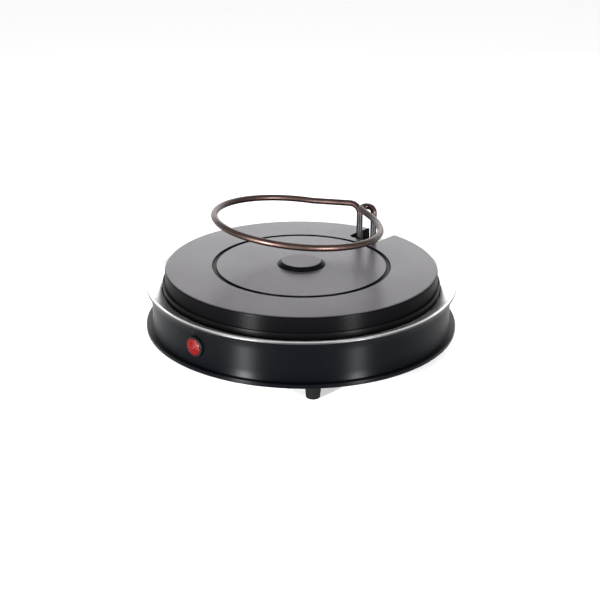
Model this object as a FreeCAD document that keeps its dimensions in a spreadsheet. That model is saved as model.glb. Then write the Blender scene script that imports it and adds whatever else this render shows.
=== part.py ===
import FreeCAD, Part
import math
import os

import Sketcher
from FreeCAD import Placement, Rotation, Vector

# A round electric baking hot plate: a notched plate on a waisted drum base, with a ring-shaped
# heating element that stands over the plate on two legs. Millimetres, +Z up. The origin is on
# the floor under the middle of the base, -Y is the front with the pilot lamp, +Y is the back.

SIZES = [
    ("foot_high", 15, "height of a rubber foot"),
    ("foot_top_radius", 7.75, "radius of a foot under the cover"),
    ("foot_low_radius", 6.5, "radius of a foot at the floor"),
    ("foot_circle", 143, "radius of the circle that the feet stand on"),
    ("foot_recess_radius", 3.6, "radius of the screw recess in a foot"),
    ("foot_recess_high", 8, "height of the screw seat in a foot"),
    ("sheet_thick", 1, "sheet metal of the drum and the pan"),
    ("cover_radius", 156.4, "outer radius of the bottom cover"),
    ("cover_edge", 4, "height of the bottom cover's folded edge"),
    ("cover_step", 149.4, "radius where the cover steps up to its edge"),
    ("wall_radius", 149.8, "outer radius of the drum at its waist"),
    ("wall_foot_flare", 1.6, "flare of the drum at its foot"),
    ("wall_foot_flare_high", 8, "height of the foot flare"),
    ("wall_top_flare", 3.6, "flare of the drum under the rim"),
    ("wall_top_flare_high", 11, "height of the top flare"),
    ("wall_top", 58, "height of the drum's top edge"),
    ("rim_radius", 155, "outer radius of the pan's rolled rim"),
    ("rim_top", 59.8, "height of the rim"),
    ("rim_drop", 2.2, "height of the rim's outer face"),
    ("rim_roll", 1.6, "radius of the rim's rolled edge"),
    ("pan_floor", 50, "height of the pan's floor"),
    ("pan_floor_radius", 138.6, "radius where the pan's floor turns up"),
    ("gutter_radius", 139.7, "inner radius of the gutter's slope"),
    ("gutter_low", 54.6, "height of the gutter's slope at its inner edge"),
    ("gutter_outer", 151, "outer radius of the gutter's slope"),
    ("gutter_high", 58.9, "height of the gutter's slope at its outer edge"),
    ("gutter_lead", 0.9, "radial width of the bend between the slope and the rim"),
    ("pan_hole_radius", 11, "radius of the lead hole in the pan"),
    ("carrier_radius", 137.8, "outer radius of the plate carrier"),
    ("carrier_lip_radius", 139, "outer radius of the carrier's lip"),
    ("carrier_lip_low", 58, "underside of the carrier's lip"),
    ("carrier_lip_top", 61, "top of the carrier's lip"),
    ("carrier_thick", 1.2, "sheet metal of the carrier"),
    ("carrier_ledge_radius", 127, "inner radius of the carrier's ledge"),
    ("carrier_screw_circle", 132, "radius of the carrier's screw circle"),
    ("seat_high", 59.5, "height of the ledge that the plate stands on"),
    ("plate_radius", 136.6, "outer radius of the plate's skirt"),
    ("plate_draft", 0.7, "taper of the skirt over its height"),
    ("plate_top", 75.5, "height of the baking surface"),
    ("plate_thick", 6, "thickness of the plate"),
    ("plate_edge", 2, "radius of the plate's top edge"),
    ("skirt_thick", 5.1, "thickness of the plate's skirt"),
    ("groove_radius", 87.1, "mean radius of the ring groove"),
    ("groove_half", 2.25, "half of the groove's width"),
    ("groove_floor_half", 1.45, "half of the groove's floor"),
    ("groove_deep", 1.5, "depth of the groove"),
    ("boss_radius", 24.3, "radius of the centre boss at its foot"),
    ("boss_top_radius", 19.5, "radius of the centre boss at its top"),
    ("boss_high", 3.8, "height of the centre boss"),
    ("notch_half", 17, "half of the notch's width"),
    ("notch_inner", 98, "distance from the axis to the notch's inner end"),
    ("notch_corner", 6, "corner radius of the notch"),
    ("notch_wall", 4, "thickness of the wall round the notch"),
    ("tube_radius", 3.25, "radius of the heating elements' sheath"),
    ("ring_radius", 83.5, "radius of the upper element's ring"),
    ("ring_x", -13, "ring centre, sideways"),
    ("ring_y", 9, "ring centre, front to back"),
    ("ring_high", 115.2, "height of the ring's centre"),
    ("ring_rise_front", 4.7, "degrees that the ring rises to the front"),
    ("ring_rise_left", 2.8, "degrees that the ring rises to the left"),
    ("leg_half", 9.3, "half of the distance between the legs"),
    ("leg_y", 106.5, "distance of the legs behind the axis"),
    ("leg_low", 34, "height of the legs' lower ends"),
    ("left_leg_top", 111.4, "height where the left leg's run meets the ring"),
    ("right_leg_top", 109.3, "height where the right leg turns"),
    ("leg_bend", 11, "bend radius at the top of the left leg"),
    ("hairpin_bend", 5.2, "bend radius of the hairpin at the right leg"),
    ("ring_lead_bend", 28, "bend radius where the ring leaves its circle"),
    ("coil_high", 65.95, "height of the lower element's centre line"),
    ("coil_inner", 62, "radius of the lower element's inner loop"),
    ("coil_outer", 112, "radius of the lower element's outer loop"),
    ("coil_bend", 14, "bend radius between the two loops"),
    ("coil_drop_bend", 9, "bend radius where the lower element turns down"),
    ("coil_drop_run", 9.5, "straight run between the inner loop and its end"),
    ("coil_low", 42, "height of the lower element's ends"),
    ("pin_radius", 1.2, "radius of a terminal pin"),
    ("pin_long", 7, "length of a terminal pin"),
    ("bush_radius", 6, "barrel radius of a ceramic bush"),
    ("bush_flange_radius", 8.4, "flange radius of a ceramic bush"),
    ("bush_barrel", 6, "length of a bush's barrel below the pan's floor"),
    ("bush_flange_thick", 2, "thickness of a bush's flange"),
    ("fit_gap", 0.05, "radial clearance of pins, shanks and tubes"),
    ("panel_gap", 0.1, "radial clearance of a part in a sheet hole"),
    ("bracket_half", 34, "half length of the upper element's bracket"),
    ("bracket_leg", 23.5, "place of the bracket's uprights"),
    ("bracket_low", 36, "underside of the bracket"),
    ("bracket_thick", 2, "metal of the bracket"),
    ("bracket_wide", 20, "width of the bracket"),
    ("bracket_screw_x", 29, "place of the bracket's screws"),
    ("collar_radius", 6.2, "radius of the collars on the legs"),
    ("collar_high", 3, "height of the collars on the legs"),
    ("support_inner", 54, "inner end of an element support"),
    ("support_outer", 120, "outer end of an element support"),
    ("support_top", 62.6, "height of an element support's rail"),
    ("support_tab", 66, "height of the rail's end tabs"),
    ("support_thick", 1.5, "metal of an element support"),
    ("support_leg", 87, "place of the support's leg"),
    ("support_foot", 98, "outer end of the support's foot"),
    ("support_screw_circle", 94.5, "radius of the support screws' circle"),
    ("support_wide", 12, "width of an element support"),
    ("sensor_half", 26, "half length of the thermostat's bracket"),
    ("sensor_leg", 16, "place of the bracket's uprights"),
    ("sensor_top", 59, "height that the thermostat sits at"),
    ("sensor_wide", 16, "width of the thermostat's bracket"),
    ("sensor_screw_x", 21, "place of the bracket's screws"),
    ("sensor_radius", 8, "radius of the thermostat's body"),
    ("sensor_face", 69.2, "height of the thermostat's sensing face"),
    ("board_radius", 85, "radius of the insulation board"),
    ("board_thick", 4, "thickness of the insulation board"),
    ("board_hole", 14, "radius of the board's centre hole"),
    ("pillar_circle", 118, "radius of the circle of the tie pillars"),
    ("pillar_radius", 5, "radius of a tie pillar"),
    ("screw_radius", 1.95, "radius of an M4 shank"),
    ("screw_head_radius", 3.4, "radius of an M4 head"),
    ("screw_head_high", 2.2, "height of an M4 head"),
    ("small_screw_radius", 1.45, "radius of an M3 shank"),
    ("small_head_radius", 2.6, "radius of an M3 head"),
    ("small_head_high", 1.8, "height of an M3 head"),
    ("nut_radius", 3.9, "corner radius of an M4 nut"),
    ("nut_high", 3.2, "height of an M4 nut"),
    ("panel_part_radius", 8, "barrel radius of the lamp and the cord gland"),
    ("panel_part_high", 36.5, "height of the lamp and the gland"),
    ("panel_flange_radius", 10, "flange radius of the lamp and the gland"),
    ("lens_dome", 2.4, "rise of the lens over its edge"),
    ("gland_bore", 4, "bore radius of the cord gland"),
    ("gland_bore_long", 6, "length of the gland's bore, before its mouth flares"),
    ("gland_mouth", 1.2, "flare of the gland's mouth over its bore"),
    ("gland_flange", 3.2, "thickness of the gland's flange"),
    ("gland_inside", 12, "length of the gland inside the wall"),
    ("gland_outside", 5.8, "length of the gland outside the wall"),
    ("block_long", 36, "length of the terminal block"),
    ("block_wide", 18, "width of the terminal block"),
    ("block_high", 14, "height of the terminal block"),
    ("block_x", 45, "place of the terminal block, sideways"),
    ("block_y", 85, "place of the terminal block, front to back"),
    ("block_pitch", 11, "spacing of the terminals"),
    ("vent_inner", 52, "inner end of a vent slot"),
    ("vent_outer", 72, "outer end of a vent slot"),
    ("vent_half", 2, "half of a vent slot's width"),
    ("fuse_x", -38, "place of the thermal fuse, sideways"),
    ("fuse_y", 94, "place of the thermal fuse, front to back"),
    ("fuse_sleeve", 3, "radius of the fuse's sleeve"),
    ("earth_x", 78, "place of the earth stud, sideways"),
    ("earth_y", 60, "place of the earth stud, front to back"),
    ("fuse_body", 8, "half length of the fuse's sleeve"),
    ("fuse_tail", 11, "half length of the fuse over its tails"),
    ("fuse_strap", 1, "metal of the fuse's clip"),
    ("fuse_clip_wide", 7, "width of the fuse's clip"),
    ("fuse_screw_out", 9, "distance of the clip's screw from the fuse's axis"),
    ("sensor_cap", 3, "height of the thermostat's cap"),
    ("blade_half", 3, "half width of the thermostat's blades"),
    ("blade_reach", 15, "reach of the thermostat's blades"),
    ("blade_thick", 0.8, "thickness of the thermostat's blades"),
    ("small_nut_radius", 3.2, "corner radius of an M3 nut"),
    ("small_nut_high", 2.4, "height of an M3 nut"),
    ("well_radius", 2.7, "radius of a terminal's screw well"),
    ("well_deep", 8, "depth of a terminal's screw well"),
    ("way_radius", 1.8, "radius of a terminal's wire way"),
    ("way_high", 8, "height of the wire ways over the block's foot"),
    ("tag_thick", 0.8, "thickness of the earth tag"),
    ("tag_radius", 4.4, "radius of the earth tag's eyelet"),
    ("bezel_face", 2.2, "height of the lamp's bezel in front of the wall"),
    ("bezel_seat", 0.8, "height of the lens's seat in front of the wall"),
    ("bezel_wall", 1.2, "thickness of the lamp's barrel"),
    ("bezel_inside", 14, "length of the lamp inside the wall"),
    ("bulb_radius", 2.4, "radius of the neon bulb"),
    ("gland_nut_over", 4, "corner radius of the gland's nut, over its barrel"),
    ("lead_radius", 1.1, "radius of an internal lead"),
]

CORNER_ANGLES = {"front_left": 225, "front_right": 315, "back_right": 45, "back_left": 135}
CARRIER_SCREW_COUNT = 3
VENT_COUNT = 18
RING_LEAVES_AT = 122
RING_ENDS_AT = 70 + 360
COIL_TURNS_AT = 118
COIL_DROPS_AT = 246.5
FACING_FRONT = Rotation(Vector(1, 0, 0), 90)
FACING_BACK = Rotation(Vector(1, 0, 0), -90)

doc = FreeCAD.newDocument("HotPlate")
sheet = doc.addObject("Spreadsheet::Sheet", "Sizes")
parts = []


class Size:
    """A length with the spreadsheet expression that it comes from."""

    def __init__(self, value, text=None):
        self.value = float(value)
        self.text = text if text else repr(float(value))

    def _join(self, other, sign, value):
        return Size(value, "(%s %s %s)" % (self.text, sign, other.text))

    def __add__(self, other):
        other = as_size(other)
        return self._join(other, "+", self.value + other.value)

    def __sub__(self, other):
        other = as_size(other)
        return self._join(other, "-", self.value - other.value)

    def __mul__(self, other):
        other = as_size(other)
        return self._join(other, "*", self.value * other.value)

    def __truediv__(self, other):
        other = as_size(other)
        return self._join(other, "/", self.value / other.value)

    def __neg__(self):
        return self * -1


def as_size(number):
    return number if isinstance(number, Size) else Size(number)


class SizeTable:
    """The spreadsheet's cells as attributes."""

    def __init__(self, rows):
        for row, (alias, value, note) in enumerate(rows, 1):
            sheet.set("A%d" % row, note)
            sheet.set("B%d" % row, str(value))
            sheet.setAlias("B%d" % row, alias)
            setattr(self, alias, Size(value, "Sizes." + alias))


S = SizeTable(SIZES)
doc.recompute()


def bind(target, name, size):
    """Sets one property of an object from the spreadsheet."""
    size = as_size(size)
    target.setExpression(name, size.text)


def polar(radius, degrees):
    angle = math.radians(degrees)
    radius = as_size(radius)
    return radius * round(math.cos(angle), 9), radius * round(math.sin(angle), 9)


# ---- sketches and features ----------------------------------------------------------------------------


def new_body(label, at=(0, 0, 0), rotation=None):
    body = doc.addObject("PartDesign::Body", label)
    body.Label = label
    body.Placement = Placement(Vector(*[as_size(c).value for c in at]), rotation or Rotation())
    for axis, size in zip("xyz", at):
        bind(body, "Placement.Base." + axis, size)
    parts.append(body)
    return body


def origin_feature(body, role):
    return next(f for f in body.Origin.OriginFeatures if f.Role == role)


def new_sketch(body, role, offset=(0, 0, 0)):
    sketch = body.newObject("Sketcher::SketchObject", body.Name + "_sketch")
    sketch.AttachmentSupport = [(origin_feature(body, role), "")]
    sketch.MapMode = "FlatFace"
    for axis, size in zip("xyz", offset):
        bind(sketch, "AttachmentOffset.Base." + axis, size)
    return sketch


def dimension(sketch, kind, where, size):
    index = sketch.addConstraint(Sketcher.Constraint(kind, *where, size.value))
    sketch.setExpression("Constraints[%d]" % index, size.text)


def arc_between(start, end, radius):
    """An arc from start to end, anticlockwise for a positive radius, and whether it was flipped."""
    flipped = radius < 0
    if flipped:
        start, end = end, start
    radius = abs(radius)
    middle = (start + end) * 0.5
    chord = end - start
    side = Vector(-chord.y, chord.x, 0).normalize()
    centre = middle + side * math.sqrt(max(radius**2 - (chord.Length / 2) ** 2, 0))
    first = math.atan2(start.y - centre.y, start.x - centre.x)
    last = math.atan2(end.y - centre.y, end.x - centre.x)
    while last < first:
        last += 2 * math.pi
    circle = Part.Circle(centre, Vector(0, 0, 1), radius)
    return Part.ArcOfCircle(circle, first, last), flipped


def draw_outline(sketch, corners):
    """Draws a closed outline. A corner is (x, y), or (x, y, radius) where an arc starts there."""
    corners = [tuple(as_size(c) for c in corner) for corner in corners]
    points = [Vector(corner[0].value, corner[1].value, 0) for corner in corners]
    first = sketch.GeometryCount
    ends = []
    for index, corner in enumerate(corners):
        following = points[(index + 1) % len(points)]
        if len(corner) == 3:
            arc, flipped = arc_between(points[index], following, corner[2].value)
            sketch.addGeometry(arc)
            ends.append((2, 1) if flipped else (1, 2))
        else:
            sketch.addGeometry(Part.LineSegment(points[index], following))
            ends.append((1, 2))
    for index in range(len(corners)):
        after = (index + 1) % len(corners)
        joint = (first + index, ends[index][1], first + after, ends[after][0])
        sketch.addConstraint(Sketcher.Constraint("Coincident", *joint))
    for index, corner in enumerate(corners):
        place = (-1, 1, first + index, ends[index][0])
        dimension(sketch, "DistanceX", place, corner[0])
        dimension(sketch, "DistanceY", place, corner[1])
        if len(corner) == 3:
            radius = corner[2] if corner[2].value > 0 else -corner[2]
            dimension(sketch, "Radius", (first + index,), radius)


def draw_circle(sketch, x, y, radius):
    x, y, radius = as_size(x), as_size(y), as_size(radius)
    circle = Part.Circle(Vector(x.value, y.value, 0), Vector(0, 0, 1), radius.value)
    index = sketch.addGeometry(circle)
    dimension(sketch, "DistanceX", (-1, 1, index, 3), x)
    dimension(sketch, "DistanceY", (-1, 1, index, 3), y)
    dimension(sketch, "Radius", (index,), radius)


def finish_feature(body, feature, before=None):
    """Makes the feature the body's result. before is the volume that a cut has to lessen."""
    body.Tip = feature
    doc.recompute()
    if before is not None and feature.Shape.Volume > before - 1e-6:
        raise RuntimeError("%s: %s cuts nothing" % (body.Label, feature.Name))
    return feature


def turned(body, corners, shift=(0, 0, 0)):
    """A solid of revolution about the sketch's own vertical axis."""
    sketch = new_sketch(body, "XZ_Plane", shift)
    draw_outline(sketch, corners)
    doc.recompute()
    revolution = body.newObject("PartDesign::Revolution", body.Name + "_turned")
    revolution.Profile = sketch
    revolution.ReferenceAxis = (sketch, ["V_Axis"])
    revolution.Angle = 360
    return finish_feature(body, revolution)


def padded(body, draw, length, role="XY_Plane", offset=(0, 0, 0), symmetric=False):
    sketch = new_sketch(body, role, offset)
    draw(sketch)
    doc.recompute()
    pad = body.newObject("PartDesign::Pad", body.Name + "_pad")
    pad.Profile = sketch
    pad.SideType = "Symmetric" if symmetric else "One side"
    bind(pad, "Length", length)
    return finish_feature(body, pad)


def pocketed(body, draw, length=None, role="XY_Plane", offset=(0, 0, 0), reversed_=False):
    """Cuts a sketch through everything both ways, or over a length to one side of its plane."""
    before = body.Shape.Volume
    sketch = new_sketch(body, role, offset)
    draw(sketch)
    doc.recompute()
    pocket = body.newObject("PartDesign::Pocket", body.Name + "_pocket")
    pocket.Profile = sketch
    if length is None:
        pocket.Type = "ThroughAll"
        pocket.SideType = "Symmetric"
    else:
        bind(pocket, "Length", length)
        pocket.Reversed = reversed_
    return finish_feature(body, pocket, before)


def round_holes(places, radius):
    def draw(sketch):
        for x, y in places:
            draw_circle(sketch, x, y, radius)

    return draw


def outline(corners):
    return lambda sketch: draw_outline(sketch, corners)


def repeated_round(body, feature, count):
    pattern = body.newObject("PartDesign::PolarPattern", body.Name + "_round")
    pattern.Originals = [feature]
    pattern.Axis = (origin_feature(body, "Z_Axis"), [""])
    pattern.Angle = 360
    pattern.Occurrences = count
    return finish_feature(body, pattern)


def mirrored(body, feature, role="YZ_Plane"):
    mirror = body.newObject("PartDesign::Mirrored", body.Name + "_mirror")
    mirror.Originals = [feature]
    mirror.MirrorPlane = (origin_feature(body, role), [""])
    return finish_feature(body, mirror)


# ---- tubes and leads along bent routes ----------------------------------------------------------------


def bent_wire(points, radii):
    """Straight runs joined by tangent arcs. radii has one value for each inner point."""
    edges = []
    at = points[0]
    for before, corner, after, radius in zip(points, points[1:], points[2:], radii):
        back = (before - corner).normalize()
        ahead = (after - corner).normalize()
        turn = math.pi - back.getAngle(ahead)
        reach = radius * math.tan(turn / 2)
        start = corner + back * reach
        end = corner + ahead * reach
        middle_way = (back + ahead).normalize()
        middle = corner + middle_way * (radius / math.cos(turn / 2) - radius)
        if (start - at).dot(corner - before) < -1e-3:
            raise RuntimeError("the bend of radius %.1f at %s doesn't fit" % (radius, corner))
        if (start - at).Length > 1e-4:
            edges.append(Part.LineSegment(at, start).toShape())
        edges.append(Part.Arc(start, middle, end).toShape())
        at = end
    edges.append(Part.LineSegment(at, points[-1]).toShape())
    return Part.Wire(edges)


def bent_tube(label, points, radii, radius):
    """A round bar swept along a bent route."""
    route = doc.addObject("Part::Feature", label + "_route")
    route.Shape = bent_wire(points, radii)
    section = doc.addObject("Part::Circle", label + "_section")
    bind(section, "Radius", radius)
    section.Placement = Placement(points[0], Rotation(Vector(0, 0, 1), points[1] - points[0]))
    tube = doc.addObject("Part::Sweep", label)
    tube.Label = label
    tube.Sections = [section]
    tube.Spine = (route, ["Edge%d" % (i + 1) for i in range(len(route.Shape.Edges))])
    tube.Solid = True
    tube.Frenet = False
    doc.recompute()
    expected = math.pi * radius.value**2 * route.Shape.Length
    if abs(tube.Shape.Volume - expected) > 0.002 * expected:
        raise RuntimeError("%s: volume %.1f, expected %.1f" % (label, tube.Shape.Volume, expected))
    parts.append(tube)
    return tube


def lead(label, points):
    """A limp wire whose bends are as large as its runs allow."""
    points = [Vector(*point) for point in points]
    radii = []
    for before, corner, after in zip(points, points[1:], points[2:]):
        turn = math.pi - (before - corner).getAngle(after - corner)
        shorter = min((before - corner).Length, (after - corner).Length)
        radii.append(0.45 * shorter / math.tan(turn / 2))
    print("%s bend radii %s" % (label, [round(radius, 1) for radius in radii]))
    bent_tube(label, points, radii, S.lead_radius)


# ---- fasteners ----------------------------------------------------------------------------------------


def screw_outline(seat, tip, shank, head, head_high):
    """A pan-head screw about the vertical axis. Its head is on the far side of seat from tip."""
    seat, tip = as_size(seat), as_size(tip)
    up = 1 if seat.value > tip.value else -1
    crown = seat + head_high * up
    shoulder = seat + head_high * (0.45 * up)
    inner = head * 0.62
    corners = [(0, tip), (shank, tip), (shank, seat), (head, seat), (head, shoulder)]
    return corners + [(inner, crown), (0, crown)]


def m4_screw(seat, tip):
    return screw_outline(seat, tip, S.screw_radius, S.screw_head_radius, S.screw_head_high)


def m3_screw(seat, tip):
    return screw_outline(seat, tip, S.small_screw_radius, S.small_head_radius, S.small_head_high)


def screws_on_circle(label, corners, circle, count, start_angle):
    turn = Rotation(Vector(0, 0, 1), start_angle)
    body = new_body(label, rotation=turn)
    screw = turned(body, corners, (circle, 0, 0))
    repeated_round(body, screw, count)


def screw_pair(label, corners, half, y=0):
    body = new_body(label, at=(0, y, 0))
    screw = turned(body, corners, (half, 0, 0))
    mirrored(body, screw)


def hexagon(radius, x=0, y=0):
    corners = []
    for index in range(6):
        along, across = polar(radius, 60 * index)
        corners.append((as_size(x) + along, as_size(y) + across))
    return corners


def draw_nut(x, y, corner_radius, hole_radius):
    def draw(sketch):
        draw_outline(sketch, hexagon(corner_radius, x, y))
        draw_circle(sketch, x, y, hole_radius)

    return draw


# ---- base: feet, cover, pillars, wall -----------------------------------------------------------------


def make_feet():
    for place, angle in CORNER_ANGLES.items():
        x, y = polar(S.foot_circle, angle)
        body = new_body("foot_" + place, at=(x, y, 0))
        hole = S.screw_radius + S.panel_gap
        turned(
            body,
            [
                (S.foot_recess_radius, 0),
                (S.foot_low_radius - 0.9, 0, 0.9),
                (S.foot_low_radius, 0.9),
                (S.foot_top_radius, S.foot_high),
                (hole, S.foot_high),
                (hole, S.foot_recess_high),
                (S.foot_recess_radius, S.foot_recess_high),
            ],
        )
    inside = S.foot_high + S.sheet_thick
    screw = m4_screw(S.foot_recess_high, inside + S.nut_high + 1.5)
    screws_on_circle("foot_screws", screw, S.foot_circle, len(CORNER_ANGLES), 45)
    body = new_body("foot_nuts", rotation=Rotation(Vector(0, 0, 1), 45))
    hole = S.screw_radius + S.fit_gap
    draw = draw_nut(S.foot_circle, 0, S.nut_radius, hole)
    nut = padded(body, draw, S.nut_high, offset=(0, 0, inside))
    repeated_round(body, nut, len(CORNER_ANGLES))


def make_bottom_cover():
    low = S.foot_high
    inside = low + S.sheet_thick
    top = low + S.cover_edge
    step = S.cover_step
    edge = S.cover_radius
    roll = 0.8
    body = new_body("bottom_cover")
    turned(
        body,
        [
            (0, low),
            (step + S.sheet_thick, low),
            (step + S.sheet_thick, top - S.sheet_thick),
            (edge - S.sheet_thick, top - S.sheet_thick),
            (edge - S.sheet_thick, low),
            (edge, low),
            (edge, top - roll, roll),
            (edge - roll, top),
            (step, top),
            (step, inside),
            (0, inside),
        ],
    )
    clear = S.screw_radius + S.panel_gap
    feet = [polar(S.foot_circle, angle) for angle in CORNER_ANGLES.values()]
    pillars = [polar(S.pillar_circle, angle) for angle in CORNER_ANGLES.values()]
    block = [(S.block_x + S.block_pitch * side, S.block_y) for side in (-0.5, 0.5)]
    pocketed(body, round_holes(feet + pillars + [(S.earth_x, S.earth_y)], clear))
    pocketed(body, round_holes(block, S.small_screw_radius + S.panel_gap))
    slot = [
        (S.vent_inner, -S.vent_half),
        (S.vent_outer, -S.vent_half, S.vent_half * 1.25),
        (S.vent_outer, S.vent_half),
        (S.vent_inner, S.vent_half, S.vent_half * 1.25),
    ]
    vent = pocketed(body, outline(slot))
    repeated_round(body, vent, VENT_COUNT)


def make_pillars():
    low = S.foot_high + S.sheet_thick
    high = S.pan_floor - S.sheet_thick
    bore = S.screw_radius + S.fit_gap
    for place, angle in CORNER_ANGLES.items():
        x, y = polar(S.pillar_circle, angle)
        body = new_body("tie_pillar_" + place, at=(x, y, 0))
        turned(body, [(bore, low), (S.pillar_radius, low), (S.pillar_radius, high), (bore, high)])
    count = len(CORNER_ANGLES)
    screws_on_circle("cover_screws", m4_screw(S.foot_high, low + 11), S.pillar_circle, count, 45)
    screws_on_circle("pan_screws", m4_screw(S.pan_floor, high - 11), S.pillar_circle, count, 45)


def flare_radius(out, high):
    """Radius of the arc that leaves the upright wall and ends at out, high."""
    return (out * out + high * high) / (out * 2)


def make_side_wall():
    low = S.foot_high + S.cover_edge
    waist_low = low + S.wall_foot_flare_high
    waist_top = S.wall_top - S.wall_top_flare_high
    foot_arc = flare_radius(S.wall_foot_flare, S.wall_foot_flare_high)
    top_arc = flare_radius(S.wall_top_flare, S.wall_top_flare_high)
    outer = S.wall_radius
    inner = outer - S.sheet_thick
    body = new_body("side_wall")
    turned(
        body,
        [
            (outer + S.wall_foot_flare, low, -foot_arc),
            (outer, waist_low),
            (outer, waist_top, -top_arc),
            (outer + S.wall_top_flare, S.wall_top),
            (inner + S.wall_top_flare, S.wall_top, top_arc),
            (inner, waist_top),
            (inner, waist_low, foot_arc),
            (inner + S.wall_foot_flare, low),
        ],
    )
    draw = round_holes([(0, S.panel_part_high)], S.panel_part_radius + S.panel_gap)
    reach = S.wall_radius - 8
    pocketed(body, draw, length=16, role="XZ_Plane", offset=(0, 0, reach), reversed_=True)
    pocketed(body, draw, length=16, role="XZ_Plane", offset=(0, 0, -reach))


# ---- pan, carrier and plate ---------------------------------------------------------------------------


def coil_ends():
    """Where the lower element turns down, left and right: a short run past the inner loop."""
    x, y = polar(S.coil_inner, COIL_DROPS_AT)
    run_x, run_y = polar(S.coil_drop_run, COIL_DROPS_AT + 90)
    return [(x + run_x, y + run_y), (-(x + run_x), y + run_y)]


def bush_places():
    return [(S.leg_half * side, S.leg_y) for side in (-1, 1)] + coil_ends()


def make_pan():
    floor = S.pan_floor
    under = floor - S.sheet_thick
    rim = S.rim_radius
    top = S.rim_top
    thick = S.sheet_thick
    body = new_body("reflector_pan")
    turned(
        body,
        [
            (S.pan_hole_radius, under),
            (S.pan_floor_radius + thick, under),
            (S.gutter_radius + thick, S.gutter_low - thick * 0.75),
            (S.gutter_outer + thick * 0.3, S.gutter_high - thick),
            (S.gutter_outer + S.gutter_lead + thick * 0.3, top - thick),
            (rim - thick, top - thick),
            (rim - thick, top - S.rim_drop),
            (rim, top - S.rim_drop),
            (rim, top - S.rim_roll, S.rim_roll),
            (rim - S.rim_roll, top),
            (S.gutter_outer + S.gutter_lead, top),
            (S.gutter_outer, S.gutter_high),
            (S.gutter_radius, S.gutter_low),
            (S.pan_floor_radius, floor),
            (S.pan_hole_radius, floor),
        ],
    )
    pocketed(body, round_holes(bush_places(), S.bush_radius + S.panel_gap))
    pillars = [polar(S.pillar_circle, angle) for angle in CORNER_ANGLES.values()]
    carrier = carrier_screw_places()
    bracket = [(S.bracket_screw_x * side, S.leg_y) for side in (-1, 1)]
    pocketed(body, round_holes(pillars + carrier + bracket, S.screw_radius + S.panel_gap))
    supports = [polar(S.support_screw_circle, angle) for angle in CORNER_ANGLES.values()]
    sensor = [(S.sensor_screw_x * side, 0) for side in (-1, 1)]
    fuse = [(S.fuse_x, S.fuse_y + 9)]
    small = S.small_screw_radius + S.panel_gap
    pocketed(body, round_holes(supports + sensor + fuse, small))


def carrier_screw_places():
    step = 360 / CARRIER_SCREW_COUNT
    return [polar(S.carrier_screw_circle, 270 + step * i) for i in range(CARRIER_SCREW_COUNT)]


def make_carrier():
    thick = S.carrier_thick
    outer = S.carrier_radius
    lip = S.carrier_lip_radius
    inner_lip = lip - 1.4
    body = new_body("plate_carrier")
    turned(
        body,
        [
            (outer, S.pan_floor),
            (outer, S.carrier_lip_low),
            (lip, S.carrier_lip_low),
            (lip, S.carrier_lip_top - 0.5, 0.5),
            (lip - 0.5, S.carrier_lip_top),
            (inner_lip, S.carrier_lip_top),
            (inner_lip, S.seat_high),
            (S.carrier_ledge_radius, S.seat_high),
            (S.carrier_ledge_radius, S.seat_high - thick),
            (outer - thick, S.seat_high - thick),
            (outer - thick, S.pan_floor + thick),
            (S.carrier_ledge_radius, S.pan_floor + thick),
            (S.carrier_ledge_radius, S.pan_floor),
        ],
    )
    holes = round_holes(carrier_screw_places(), S.screw_radius + S.panel_gap)
    pocketed(body, holes, length=thick * 2, offset=(0, 0, S.pan_floor + thick))
    screw = m4_screw(S.pan_floor - S.sheet_thick, S.pan_floor + thick + 3)
    circle = S.carrier_screw_circle
    screws_on_circle("carrier_screws", screw, circle, CARRIER_SCREW_COUNT, 270)


def u_shape(half, inner, corner, far):
    """A radial slot's outline, open to the back."""
    return [
        (-half, far),
        (-half, inner + corner, corner),
        (-half + corner, inner),
        (half - corner, inner, corner),
        (half, inner + corner),
        (half, far),
    ]


def make_plate():
    top = S.plate_top
    under = top - S.plate_thick
    skirt = S.plate_radius
    shoulder = skirt - S.plate_draft
    groove = S.groove_radius
    body = new_body("baking_plate")
    turned(
        body,
        [
            (0, under),
            (shoulder - S.skirt_thick, under),
            (skirt - S.skirt_thick, S.seat_high),
            (skirt, S.seat_high),
            (shoulder, top - S.plate_edge, S.plate_edge),
            (shoulder - S.plate_edge, top),
            (groove + S.groove_half, top),
            (groove + S.groove_floor_half, top - S.groove_deep),
            (groove - S.groove_floor_half, top - S.groove_deep),
            (groove - S.groove_half, top),
            (S.boss_radius, top),
            (S.boss_top_radius, top + S.boss_high),
            (0, top + S.boss_high),
        ],
    )
    wall = S.notch_wall
    rib = u_shape(S.notch_half + wall, S.notch_inner - wall, S.notch_corner + wall, skirt - 5)
    padded(body, outline(rib), under - S.seat_high + 1, offset=(0, 0, S.seat_high))
    notch = u_shape(S.notch_half, S.notch_inner, S.notch_corner, skirt + 5)
    pocketed(body, outline(notch))


# ---- heating elements ---------------------------------------------------------------------------------


def circle_corners(radius, start, end, steps):
    """Corners of the polygon that touches the circle, flat, for start to end in degrees."""
    step = (end - start) / steps
    reach = radius / math.cos(math.radians(step / 2))
    angles = [math.radians(start + step * (index + 0.5)) for index in range(steps)]
    return [Vector(reach * math.cos(a), reach * math.sin(a), 0) for a in angles]


def on_circle(radius, degrees, ahead=0):
    """A point that lies ahead millimetres anticlockwise along the tangent at degrees."""
    angle = math.radians(degrees)
    out = Vector(math.cos(angle), math.sin(angle), 0)
    return out * radius + Vector(-out.y, out.x, 0) * ahead


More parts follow.
